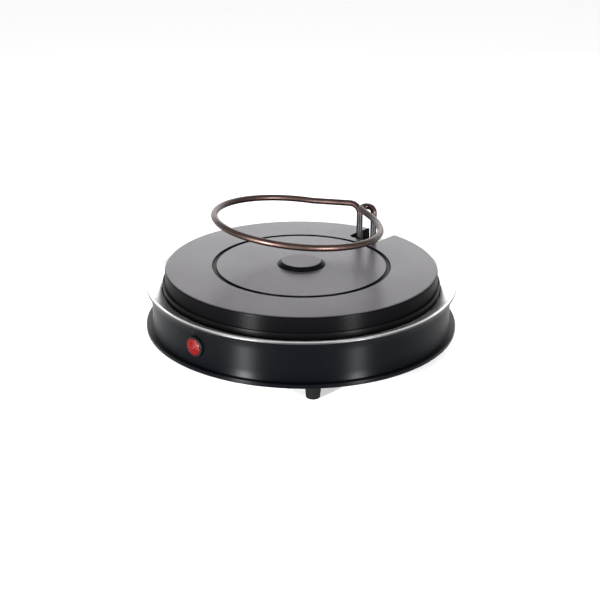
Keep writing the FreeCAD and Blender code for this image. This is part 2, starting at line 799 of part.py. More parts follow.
def make_upper_element():
    radius = S.ring_radius.value
    tilt = Rotation(Vector(1, 0, 0), -S.ring_rise_front.value)
    lean = Rotation(Vector(0, 1, 0), S.ring_rise_left.value)
    centre = Vector(S.ring_x.value, S.ring_y.value, S.ring_high.value)
    ring = Placement(centre, lean.multiply(tilt))
    steps = 12
    corners = circle_corners(radius, RING_LEAVES_AT, RING_ENDS_AT, steps)
    leave = on_circle(radius, RING_LEAVES_AT, -4)
    x, y, low = S.leg_half.value, S.leg_y.value, S.leg_low.value
    pin_x = -2.6
    points = [Vector(-x, y, low), Vector(-x, y, S.left_leg_top.value), ring.multVec(leave)]
    points += [ring.multVec(corner) for corner in corners]
    points += [Vector(pin_x, y - 8.6, S.right_leg_top.value + 0.4)]
    points += [Vector(pin_x, y + 3.2, S.right_leg_top.value + 1.4)]
    points += [Vector(x, y, S.right_leg_top.value), Vector(x, y, low)]
    bend = S.hairpin_bend.value
    radii = [S.leg_bend.value, S.ring_lead_bend.value] + [radius] * steps + [bend, bend, bend]
    bent_tube("upper_element", points, radii, S.tube_radius)
    make_pins("upper_element_pins", S.leg_half, S.leg_y, S.leg_low)


def make_lower_element():
    inner, outer, bend = S.coil_inner.value, S.coil_outer.value, S.coil_bend.value
    end_x, end_y = coil_ends()[1]
    x, y = end_x.value, end_y.value
    turn, drop = COIL_TURNS_AT, COIL_DROPS_AT
    half = circle_corners(inner, drop, turn, 5)
    half += [on_circle(inner, turn, -bend), on_circle(outer, turn, -bend)]
    loop = circle_corners(outer, turn, 540 - turn, 12)
    flat = [Vector(-x, y, 0)] + half + loop
    flat += [Vector(-point.x, point.y, 0) for point in reversed(half)] + [Vector(x, y, 0)]
    rise = Vector(0, 0, S.coil_high.value)
    ends = [Vector(-x, y, S.coil_low.value), Vector(x, y, S.coil_low.value)]
    points = ends[:1] + [point + rise for point in flat] + ends[1:]
    side = [inner] * 5 + [bend, bend]
    drop_bend = S.coil_drop_bend.value
    radii = [drop_bend] + side + [outer] * 12 + side[::-1] + [drop_bend]
    bent_tube("lower_element", points, radii, S.tube_radius)
    make_pins("lower_element_pins", end_x, end_y, S.coil_low)


def make_pins(label, half, y, top):
    body = new_body(label, at=(0, y, 0))
    low = top - S.pin_long
    collar = S.tube_radius * 0.8
    corners = [(0, low), (S.pin_radius, low), (S.pin_radius, top - 2)]
    corners += [(collar, top - 2), (collar, top), (0, top)]
    pin = turned(body, corners, (half, 0, 0))
    mirrored(body, pin)


def make_bushes():
    names = ["upper_bush_left", "upper_bush_right", "lower_bush_left", "lower_bush_right"]
    bore = S.tube_radius + S.fit_gap
    low = S.pan_floor - S.bush_barrel
    top = S.pan_floor + S.bush_flange_thick
    for name, (x, y) in zip(names, bush_places()):
        body = new_body(name, at=(x, y, 0))
        turned(
            body,
            [
                (bore, low),
                (S.bush_radius, low),
                (S.bush_radius, S.pan_floor),
                (S.bush_flange_radius, S.pan_floor),
                (S.bush_flange_radius, top - 0.6, 0.6),
                (S.bush_flange_radius - 0.6, top),
                (bore, top),
            ],
        )


def hat_outline(half, leg, low, top, thick, feet_up):
    """A strip bent to a hat shape. Its feet are at the top where feet_up is true."""
    foot = top if feet_up else low
    foot_in = foot - thick if feet_up else foot + thick
    crown = low if feet_up else top
    crown_in = crown + thick if feet_up else crown - thick
    right = [(leg, foot_in), (leg, crown), (-leg, crown), (-leg, foot_in)]
    left = [(-half, foot_in), (-half, foot), (-leg + thick, foot), (-leg + thick, crown_in)]
    return right + left + [(leg - thick, crown_in), (leg - thick, foot), (half, foot), (half, foot_in)]


def make_upper_bracket():
    under = S.pan_floor - S.sheet_thick
    body = new_body("upper_element_bracket", at=(0, S.leg_y, 0))
    strip = hat_outline(S.bracket_half, S.bracket_leg, S.bracket_low, under, S.bracket_thick, True)
    padded(body, outline(strip), S.bracket_wide, role="XZ_Plane", symmetric=True)
    legs = [(-S.leg_half, 0), (S.leg_half, 0)]
    screws = [(-S.bracket_screw_x, 0), (S.bracket_screw_x, 0)]
    pocketed(body, round_holes(legs, S.tube_radius + S.fit_gap))
    pocketed(body, round_holes(screws, S.screw_radius + S.fit_gap))
    screw_pair("bracket_screws", m4_screw(S.pan_floor, under - 6), S.bracket_screw_x, S.leg_y)
    collars = new_body("upper_leg_collars", at=(0, S.leg_y, 0))
    low = S.bracket_low + S.bracket_thick
    bore = S.tube_radius + S.fit_gap
    ring = [(bore, low), (S.collar_radius, low)]
    ring += [(S.collar_radius, low + S.collar_high), (bore, low + S.collar_high)]
    mirrored(collars, turned(collars, ring, (S.leg_half, 0, 0)))


def make_supports():
    thick = S.support_thick
    under = S.support_top - thick
    leg = S.support_leg
    floor = S.pan_floor
    rail = [
        (S.support_inner, under),
        (leg, under),
        (leg, floor),
        (S.support_foot, floor),
        (S.support_foot, floor + thick),
        (leg + thick, floor + thick),
        (leg + thick, under),
        (S.support_outer, under),
        (S.support_outer, S.support_tab),
        (S.support_outer - thick, S.support_tab),
        (S.support_outer - thick, S.support_top),
        (S.support_inner + thick, S.support_top),
        (S.support_inner + thick, S.support_tab),
        (S.support_inner, S.support_tab),
    ]
    hole = round_holes([(S.support_screw_circle, 0)], S.small_screw_radius + S.panel_gap)
    for place, angle in CORNER_ANGLES.items():
        turn = Rotation(Vector(0, 0, 1), angle)
        body = new_body("element_support_" + place, rotation=turn)
        padded(body, outline(rail), S.support_wide, role="XZ_Plane", symmetric=True)
        pocketed(body, hole, length=thick * 2, offset=(0, 0, floor + thick))
    screw = m3_screw(floor + thick, floor - 5)
    screws_on_circle("support_screws", screw, S.support_screw_circle, len(CORNER_ANGLES), 45)


# ---- thermostat, insulation, fuse and terminals -------------------------------------------------------


def make_thermostat():
    thick = S.support_thick
    under = S.sensor_top - thick
    body = new_body("thermostat_bracket")
    strip = hat_outline(S.sensor_half, S.sensor_leg, S.pan_floor, S.sensor_top, thick, False)
    padded(body, outline(strip), S.sensor_wide, role="XZ_Plane", symmetric=True)
    screws = [(-S.sensor_screw_x, 0), (S.sensor_screw_x, 0)]
    pocketed(body, round_holes(screws, S.small_screw_radius + S.panel_gap))
    board_low = S.pan_floor - S.sheet_thick - S.board_thick
    tip = board_low - S.small_nut_high - 0.8
    screw_pair("thermostat_screws", m3_screw(S.pan_floor + thick, tip), S.sensor_screw_x)
    nuts = new_body("thermostat_nuts")
    draw = draw_nut(S.sensor_screw_x, 0, S.small_nut_radius, S.small_screw_radius + S.fit_gap)
    nut = padded(nuts, draw, S.small_nut_high, offset=(0, 0, board_low - S.small_nut_high))
    mirrored(nuts, nut)
    cap = S.sensor_face
    cap_low = cap - S.sensor_cap
    radius = S.sensor_radius
    sensor = new_body("thermostat")
    turned(
        sensor,
        [
            (0, S.sensor_top),
            (radius, S.sensor_top),
            (radius, cap_low),
            (radius + 0.7, cap_low),
            (radius + 0.7, cap - 0.8),
            (radius - 1, cap),
            (0, cap),
        ],
    )
    wide, far = S.blade_half, S.blade_reach
    blade = [(-wide, -far), (wide, -far), (wide, far), (-wide, far)]
    padded(sensor, outline(blade), S.blade_thick, offset=(0, 0, under + 4))


def make_insulation():
    body = new_body("insulation_board")
    top = S.pan_floor - S.sheet_thick
    low = top - S.board_thick
    hole, edge = S.board_hole, S.board_radius
    turned(body, [(hole, low), (edge, low), (edge, top), (hole, top)])
    pocketed(body, round_holes(coil_ends(), S.bush_radius + 1))
    screws = [(S.sensor_screw_x * side, 0) for side in (-1, 1)]
    pocketed(body, round_holes(screws, S.small_screw_radius + S.panel_gap))


def make_fuse():
    under = S.pan_floor - S.sheet_thick
    strap = S.fuse_strap
    hoop_radius = S.fuse_sleeve + S.fit_gap
    ring = hoop_radius + strap
    high = under - ring - S.fit_gap
    along = Rotation(Vector(0, 1, 0), 90)
    fuse = new_body("thermal_fuse", at=(S.fuse_x, S.fuse_y, high), rotation=along)
    body_end, tail = S.fuse_body, S.fuse_tail
    corners = [(0, -tail), (S.lead_radius, -tail), (S.lead_radius, -body_end)]
    corners += [(S.fuse_sleeve - 0.6, -body_end, 0.6), (S.fuse_sleeve, -body_end + 0.6)]
    corners += [(S.fuse_sleeve, body_end - 0.6, 0.6), (S.fuse_sleeve - 0.6, body_end)]
    corners += [(S.lead_radius, body_end), (S.lead_radius, tail), (0, tail)]
    turned(fuse, corners)
    clip = new_body("fuse_clip", at=(S.fuse_x, S.fuse_y, high))

    def hoop(sketch):
        draw_circle(sketch, 0, 0, ring)
        draw_circle(sketch, 0, 0, hoop_radius)

    padded(clip, hoop, S.fuse_clip_wide, role="YZ_Plane", symmetric=True)
    tab_low, tab_end = ring - strap, S.fuse_screw_out + 4
    tab = [(1.2, tab_low), (tab_end, tab_low), (tab_end, ring), (1.2, ring)]
    padded(clip, outline(tab), S.fuse_clip_wide, role="YZ_Plane", symmetric=True)
    hole = round_holes([(0, S.fuse_screw_out)], S.small_screw_radius + S.panel_gap)
    pocketed(clip, hole, length=strap * 2, offset=(0, 0, ring))
    screw = new_body("fuse_screw", at=(S.fuse_x, S.fuse_y + S.fuse_screw_out, 0))
    turned(screw, m3_screw(S.pan_floor, under - strap - 4))


def make_terminal_block():
    low = S.foot_high + S.sheet_thick
    top = low + S.block_high
    half, deep = S.block_long / 2, S.block_wide / 2
    box = [(-half, -deep), (half, -deep), (half, deep), (-half, deep)]
    block = new_body("terminal_block", at=(S.block_x, S.block_y, 0))
    padded(block, outline(box), S.block_high, offset=(0, 0, low))
    wells = [(S.block_pitch * side, 0) for side in (-1, 0, 1)]
    pocketed(block, round_holes(wells, S.well_radius), length=S.well_deep, offset=(0, 0, top))
    ways = [(S.block_pitch * side, low + S.way_high) for side in (-1, 0, 1)]
    pocketed(block, round_holes(ways, S.way_radius), role="XZ_Plane")
    mount_holes = [(S.block_pitch * side, 0) for side in (-0.5, 0.5)]
    pocketed(block, round_holes(mount_holes, S.small_screw_radius + S.fit_gap))
    grips = new_body("terminal_screws", at=(S.block_x, S.block_y, 0))
    grip_low, grip_top = top - 4, top - 0.5
    grip_radius = S.well_radius - 0.1
    grip = [(0, grip_low), (grip_radius, grip_low), (grip_radius, grip_top), (0, grip_top)]
    first = turned(grips, grip)
    side = turned(grips, grip, (S.block_pitch, 0, 0))
    mirrored(grips, side)
    if len(first.Shape.Solids) != 1 or len(grips.Shape.Solids) != 3:
        raise RuntimeError("terminal_screws should be three solids")
    fixings = new_body("block_screws", at=(S.block_x, S.block_y, 0))
    mirrored(fixings, turned(fixings, m3_screw(S.foot_high, low + 10), (S.block_pitch / 2, 0, 0)))


def make_earth():
    inside = S.foot_high + S.sheet_thick
    stud = new_body("earth_stud", at=(S.earth_x, S.earth_y, 0))
    turned(stud, m4_screw(S.foot_high, inside + 9))
    tag = new_body("earth_tag", at=(S.earth_x, S.earth_y, 0))

    def eyelet(sketch):
        draw_circle(sketch, 0, 0, S.tag_radius)
        draw_circle(sketch, 0, 0, S.screw_radius + S.fit_gap)

    padded(tag, eyelet, S.tag_thick, offset=(0, 0, inside))
    root, tip = S.tag_radius - 0.5, S.tag_radius + 6.6
    tongue = [(-2, root), (2, root), (2, tip), (-2, tip)]
    padded(tag, outline(tongue), S.tag_thick, offset=(0, 0, inside))
    nut = new_body("earth_nut", at=(S.earth_x, S.earth_y, 0))
    draw = draw_nut(0, 0, S.nut_radius, S.screw_radius + S.fit_gap)
    padded(nut, draw, S.nut_high, offset=(0, 0, inside + S.tag_thick))


# ---- pilot lamp and cord gland ------------------------------------------------------------------------


def make_lamp():
    at = (0, -S.wall_radius, S.panel_part_high)
    barrel, flange = S.panel_part_radius, S.panel_flange_radius
    window = barrel - S.bezel_wall
    seat = S.bezel_seat
    face = S.bezel_face
    bezel = new_body("lamp_bezel", at=at, rotation=FACING_FRONT)
    turned(
        bezel,
        [
            (window, -S.bezel_inside),
            (barrel, -S.bezel_inside),
            (barrel, 0),
            (flange, 0),
            (flange, face - 0.8, 0.8),
            (flange - 0.8, face),
            (barrel + 0.1, face),
            (barrel + 0.1, seat),
            (window, seat),
        ],
    )
    lens = new_body("lamp_lens", at=at, rotation=FACING_FRONT)
    dome = flare_radius(S.lens_dome, barrel)
    inner_dome = flare_radius(S.lens_dome, window - 1.1)
    turned(
        lens,
        [
            (barrel, seat + 0.05),
            (barrel, face, dome),
            (0, S.lens_dome + face),
            (0, S.lens_dome + seat, -inner_dome),
            (window - 1.1, seat),
            (window - 1.1, -3),
            (window - 0.1, -3),
            (window - 0.1, seat + 0.05),
        ],
    )
    bulb = new_body("neon_bulb", at=at, rotation=FACING_FRONT)
    glass = S.bulb_radius
    turned(bulb, [(0, -12), (glass, -12), (glass, -1.2), (glass / 2, 1), (0, 1)])
    clip = new_body("lamp_clip", at=at, rotation=FACING_FRONT)
    bore = barrel + S.fit_gap
    turned(clip, [(bore, -2.6), (barrel + 3, -2.6), (barrel + 3, -1.6), (bore, -1.6)])


def make_gland():
    at = (0, S.wall_radius, S.panel_part_high)
    barrel, flange, bore = S.panel_part_radius, S.panel_flange_radius, S.gland_bore
    mouth = bore + S.gland_mouth
    body = new_body("cord_gland", at=at, rotation=FACING_BACK)
    turned(
        body,
        [
            (bore, -S.gland_inside),
            (barrel, -S.gland_inside),
            (barrel, 0),
            (flange, 0),
            (flange, S.gland_flange - 1.2),
            (flange - 1.2, S.gland_flange),
            (mouth + 2.2, S.gland_flange),
            (mouth + 1.4, S.gland_outside),
            (mouth, S.gland_outside),
            (bore, S.gland_bore_long - S.gland_inside),
        ],
    )
    nut = new_body("gland_nut", at=at, rotation=FACING_BACK)
    draw = draw_nut(0, 0, barrel + S.gland_nut_over, barrel + S.fit_gap)
    padded(nut, draw, 4, offset=(0, 0, -6))


# ---- internal leads -----------------------------------------------------------------------------------


def make_leads():
    leg_x, leg_y = S.leg_half.value, S.leg_y.value
    pin_low = S.leg_low.value - S.pin_long.value
    end_x, end_y = [size.value for size in coil_ends()[1]]
    coil_pin_low = S.coil_low.value - S.pin_long.value
    block_x, block_y = S.block_x.value, S.block_y.value
    pitch = S.block_pitch.value
    way = S.foot_high.value + S.sheet_thick.value + 8
    front = block_y - S.block_wide.value / 2 - 0.2
    back = block_y + S.block_wide.value / 2 + 0.2
    lamp_y = -S.wall_radius.value + 12.2
    lamp_z = S.panel_part_high.value
    low_run = 19
    fuse_y = S.fuse_y.value
    fuse_z = S.pan_floor.value - S.sheet_thick.value - S.fuse_sleeve.value - 1.1
    lead(
        "lead_block_to_right_leg",
        [(block_x - pitch, back, way), (block_x - pitch, back + 14, way), (28, back + 26, low_run + 1),
         (leg_x + 5, leg_y + 15, low_run), (leg_x, leg_y, low_run), (leg_x, leg_y, pin_low)],
    )
    lead(
        "lead_block_to_coil_right",
        [(block_x - pitch, front, way), (block_x - pitch, front - 14, way), (36, 38, 27), (38, 8, 29),
         (34, -24, 27), (26, -52, 22), (end_x, end_y, 22), (end_x, end_y, coil_pin_low)],
    )
    lead(
        "lead_leg_to_fuse",
        [(-leg_x, leg_y, pin_low), (-leg_x, leg_y, low_run), (-leg_x + 4, 90, low_run + 3),
         (-leg_x, 78, 30), (-16, 84, 42), (-20, fuse_y, fuse_z), (S.fuse_x.value + 11, fuse_y, fuse_z)],
    )
    lead(
        "lead_lamp_left",
        [(-2, lamp_y, lamp_z), (-2, lamp_y + 12, lamp_z - 2), (-8, -112, 28), (-14, -92, 22),
         (-22, -74, 20), (-end_x, end_y, 21), (-end_x, end_y, coil_pin_low)],
    )
    lead(
        "lead_earth",
        [(S.earth_x.value, S.earth_y.value + 11.4, 17.2), (S.earth_x.value, S.earth_y.value + 20, 18),
         (72, 96, 22), (60, 110, 24), (block_x + pitch, back + 12, way), (block_x + pitch, back, way)],
    )


# ---- build, test and write ----------------------------------------------------------------------------


def check_objects():
    """Stops the script where an object failed or a sub-part has no sound solid."""
    for item in doc.Objects:
        if "Invalid" in item.State or "Error" in item.State:
            raise RuntimeError("%s is %s" % (item.Label, item.State))
        if item.TypeId == "Sketcher::SketchObject" and not item.FullyConstrained:
            raise RuntimeError("%s is not fully constrained" % item.Label)
    for part in parts:
        shape = part.Shape
        if shape.isNull() or not shape.isValid() or not shape.Solids or shape.Volume <= 0:
            raise RuntimeError("%s has no valid solid" % part.Label)


def write_parts(folder):
    os.makedirs(folder, exist_ok=True)
    for part in parts:
        part.Shape.exportStep(os.path.join(folder, part.Label + ".step"))


def main():
    make_feet()
    make_bottom_cover()
    make_pillars()
    make_side_wall()
    make_pan()
    make_carrier()
    make_plate()
    make_upper_element()
    make_lower_element()
    make_bushes()
    make_upper_bracket()
    make_supports()
    make_thermostat()
    make_insulation()
    make_fuse()
    make_terminal_block()
    make_earth()
    make_lamp()
    make_gland()
    make_leads()
    doc.recompute()
    check_objects()
    write_parts("parts")
    print("%d sub-parts written" % len(parts))


main()
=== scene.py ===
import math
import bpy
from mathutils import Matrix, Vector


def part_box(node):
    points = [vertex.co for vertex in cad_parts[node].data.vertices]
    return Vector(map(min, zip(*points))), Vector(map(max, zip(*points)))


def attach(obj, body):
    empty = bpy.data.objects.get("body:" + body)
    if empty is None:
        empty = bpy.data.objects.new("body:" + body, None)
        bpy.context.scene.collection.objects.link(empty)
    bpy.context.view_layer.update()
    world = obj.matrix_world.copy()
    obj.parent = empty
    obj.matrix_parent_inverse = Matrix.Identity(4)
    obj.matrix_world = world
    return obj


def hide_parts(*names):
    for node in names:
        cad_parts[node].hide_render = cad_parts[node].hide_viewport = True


bl_info = {
    "name": "Baking Hot Plate",
    "version": (1, 0, 0),
    "blender": (4, 5, 0),
    "location": "View3D > Sidebar > Hot Plate",
    "description": "Builds the finished pieces of a round baking hot plate around its frame",
    "category": "Object",
}

import bmesh
import bpy
from bpy.props import FloatProperty, FloatVectorProperty, IntProperty, PointerProperty
from bpy.types import Operator, Panel, PropertyGroup
from mathutils import Matrix, Vector, noise

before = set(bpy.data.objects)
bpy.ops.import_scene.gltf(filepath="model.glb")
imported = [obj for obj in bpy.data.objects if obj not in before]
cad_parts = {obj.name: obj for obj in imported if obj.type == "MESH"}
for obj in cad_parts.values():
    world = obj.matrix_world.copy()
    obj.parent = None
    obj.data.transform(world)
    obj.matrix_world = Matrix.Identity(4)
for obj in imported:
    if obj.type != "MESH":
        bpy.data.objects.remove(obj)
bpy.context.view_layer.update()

MM = 0.001
FULL_TURN = 2 * math.pi
CORNERS = {"front_left": 225, "front_right": 315, "back_right": 45, "back_left": 135}
FEET_CIRCLE = 143
LEG_HALF = 9.3
LEG_BACK = 106.5
LARGE_HOLE = 2.05
SMALL_HOLE = 1.55
SIDE_HEIGHT = 36.5
FLARE = 3.6
COIL_INNER = 62
COIL_DROP = 246.5

PLATE_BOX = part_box("baking_plate")
CARRIER_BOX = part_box("plate_carrier")
PAN_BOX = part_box("reflector_pan")
WALL_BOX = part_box("side_wall")
COVER_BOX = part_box("bottom_cover")
LENS_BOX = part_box("lamp_lens")
BEZEL_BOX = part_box("lamp_bezel")
GLAND_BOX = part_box("cord_gland")
UPPER_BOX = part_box("upper_element")
LOWER_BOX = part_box("lower_element")
WAIST = WALL_BOX[1].x / MM - FLARE


# ---- lines, turned shapes and tubes ----


def polar(radius, degrees):
    angle = math.radians(degrees)
    return radius * math.cos(angle), radius * math.sin(angle)


def around(radius, angles=tuple(CORNERS.values())):
    """Places (x, y) on a circle, in millimetres."""
    return [polar(radius, angle) for angle in angles]


# Centres of the fixings, in millimetres.
FEET = around(FEET_CIRCLE)
PILLARS = around(118)
SUPPORTS = around(94.5)
CARRIER_FIXINGS = around(132, (270, 30, 150))
BRACKET_FIXINGS = [(29, LEG_BACK), (-29, LEG_BACK)]
THERMOSTAT_FIXINGS = [(21, 0), (-21, 0)]
BLOCK_FIXINGS = [(39.5, 85), (50.5, 85)]
FUSE_FIXING = [(-38, 103)]
EARTH_STUD = [(78, 60)]


def bent_line(corners, closed, hold=0.0, step=9.0):
    """Points of a line whose corners are (place, radius). An arc has a holding point beside each end."""
    points = []
    count = len(corners)
    for index, (here, radius) in enumerate(corners):
        at_end = not closed and index in (0, count - 1)
        if radius <= 0 or at_end:
            points.append(here)
            continue
        to_before = (corners[index - 1][0] - here).normalized()
        to_after = (corners[(index + 1) % count][0] - here).normalized()
        half = to_before.angle(to_after) / 2
        setback = radius / math.tan(half)
        centre = here + (to_before + to_after).normalized() * (radius / math.sin(half))
        start = here + to_before * setback - centre
        end = here + to_after * setback - centre
        swing = math.pi - 2 * half
        steps = max(3, math.ceil(math.degrees(swing) / step))
        if hold:
            points.append(centre + start + to_before * hold)
        for number in range(steps + 1):
            share = number / steps
            first = math.sin((1 - share) * swing) / math.sin(swing)
            second = math.sin(share * swing) / math.sin(swing)
            points.append(centre + start * first + end * second)
        if hold:
            points.append(centre + end + to_after * hold)
    apart = [points[0]]
    for point in points[1:]:
        if (point - apart[-1]).length > 2e-6:
            apart.append(point)
    return apart


def profile(corners, hold=0.3 * MM):
    """A closed outline in millimetres, corners (radius, height) or (radius, height, rounding)."""
    placed = []
    for corner in corners:
        rounding = corner[2] * MM if len(corner) > 2 else 0
        placed.append((Vector((corner[0] * MM, corner[1] * MM)), rounding))
    return bent_line(placed, closed=True, hold=hold)


def mesh_of(verts, faces):
    """A mesh whose faces all look outwards."""
    mesh = bpy.data.meshes.new("shape")
    mesh.from_pydata([tuple(vert) for vert in verts], [], faces)
    shape = bmesh.new()
    shape.from_mesh(mesh)
    bmesh.ops.recalc_face_normals(shape, faces=shape.faces)
    shape.to_mesh(mesh)
    shape.free()
    return mesh


def lathe(outline, segments, shift=None):
    """Turns a closed outline about the upright axis. shift moves (radius, height) at each angle."""
    verts = []
    rings = []
    for radius, height in outline:
        if radius < 1e-7:
            rings.append([len(verts)])
            verts.append((0, 0, height))
            continue
        ring = []
        for index in range(segments):
            angle = FULL_TURN * index / segments
            out, high = shift(radius, height, angle) if shift else (radius, height)
            ring.append(len(verts))
            verts.append((out * math.cos(angle), out * math.sin(angle), high))
        rings.append(ring)
    faces = []
    for near, far in zip(rings, rings[1:] + rings[:1]):
        if len(near) == 1 and len(far) == 1:
            continue
        for index in range(segments):
            after = (index + 1) % segments
            face = [near[index % len(near)], near[after % len(near)]]
            face += [far[after % len(far)], far[index % len(far)]]
            faces.append(tuple(dict.fromkeys(face)))
    return mesh_of(verts, faces)


def prism(outline, low, high, upper=None):
    """A solid over a flat outline of (x, y), all in metres. upper is its outline at the top, if another."""
    count = len(outline)
    verts = [(x, y, low) for x, y in outline] + [(x, y, high) for x, y in upper or outline]
    faces = [tuple(range(count)), tuple(range(count, 2 * count))]
    for index in range(count):
        after = (index + 1) % count
        faces.append((index, after, count + after, count + index))
    return mesh_of(verts, faces)


def disc(x, y, radius, sides=40):
    """Outline of a round hole, in metres."""
    angles = [FULL_TURN * index / sides for index in range(sides)]
    return [(x + radius * math.cos(angle), y + radius * math.sin(angle)) for angle in angles]


def tube(path, radius, sides):
    """A rod along path. Its section is carried along without twisting, and its ends are eased."""
    end_round = 0.35 * MM
    first = (path[1] - path[0]).normalized()
    last = (path[-1] - path[-2]).normalized()
    path = [path[0], path[0] + first * end_round] + path[1:-1] + [path[-1] - last * end_round, path[-1]]
    radii = [radius - end_round] + [radius] * (len(path) - 2) + [radius - end_round]
    across = first.orthogonal().normalized()
    before = first
    verts = []
    for index, point in enumerate(path):
        ahead = path[min(index + 1, len(path) - 1)] - point
        behind = point - path[max(index - 1, 0)]
        along = (ahead.normalized() + behind.normalized()).normalized()
        across = before.rotation_difference(along) @ across
        side = along.cross(across)
        before = along
        for number in range(sides):
            angle = FULL_TURN * number / sides
            verts.append(point + (across * math.cos(angle) + side * math.sin(angle)) * radii[index])
    faces = [tuple(range(sides)), tuple(range(len(verts) - sides, len(verts)))]
    for index in range(len(path) - 1):
        for number in range(sides):
            after = (number + 1) % sides
            here = index * sides
            faces.append((here + number, here + after, here + sides + after, here + sides + number))
    return mesh_of(verts, faces)


def joined(meshes):
    """One mesh with all of these in it."""
    shape = bmesh.new()
    for mesh in meshes:
        shape.from_mesh(mesh)
    made = bpy.data.meshes.new("shape")
    shape.to_mesh(made)
    shape.free()
    return made


def placed(mesh, matrix):
    """A copy of mesh, moved by matrix."""
    copy = mesh.copy()
    copy.transform(matrix)
    return copy


def new_object(name, data):
    """An object with this data, put in the scene."""
    made = bpy.data.objects.new(name, data)
    bpy.context.scene.collection.objects.link(made)
    return made


def carve(mesh, tool_mesh, operation="DIFFERENCE"):
    """mesh with tool_mesh cut out of it or added to it."""
    block = new_object("block", mesh)
    tool = new_object("tool", tool_mesh)
    modifier = block.modifiers.new("carve", "BOOLEAN")
    modifier.operation = operation
    modifier.solver = "EXACT"
    modifier.object = tool
    graph = bpy.context.evaluated_depsgraph_get()
    made = bpy.data.meshes.new_from_object(block.evaluated_get(graph))
    bpy.data.objects.remove(block)
    bpy.data.objects.remove(tool)
    if len(made.polygons) < 8:
        raise RuntimeError("carving left nothing of a piece")
    return made


def drilled(mesh, holes, low, high):
    """mesh with upright round holes, from (places, radius) rows in millimetres."""
    tools = []
    for places, radius in holes:
        tools += [prism(disc(x * MM, y * MM, radius * MM), low * MM, high * MM) for x, y in places]
    return carve(mesh, joined(tools))


def add_piece(name, mesh, material, node, body="base", sharp=34):
    """Puts a finished mesh in the scene as a piece that stands for a CAD node and rides on a body."""
    mesh.name = name
    mesh.materials.clear()
    mesh.materials.append(material)
    mesh.polygons.foreach_set("use_smooth", [True] * len(mesh.polygons))
    mesh.polygons.foreach_set("material_index", [0] * len(mesh.polygons))
    mesh.set_sharp_from_angle(angle=math.radians(sharp))
    piece = new_object(name, mesh)
    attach(piece, body)
    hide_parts(node)
    return piece


# ---- finishes ----


def both_ways(operation):
    """The methods of an operator and of its reflected form. Each adds the operation's Math node."""

    def plain(self, other):
        return self.math(operation, self, other)

    def reflected(self, other):
        return self.math(operation, other, self)

    return plain, reflected


class Signal:
    """A value on its way through a finish. Sums and products on it add the Math nodes they stand for."""

    def __init__(self, finish, socket):
        self.finish = finish
        self.socket = socket

    def math(self, operation, first, second):
        return self.finish.node("Math", {"operation": operation}, {0: first, 1: second})

    __add__, __radd__ = both_ways("ADD")
    __sub__, __rsub__ = both_ways("SUBTRACT")
    __mul__, __rmul__ = both_ways("MULTIPLY")
    __truediv__, __rtruediv__ = both_ways("DIVIDE")


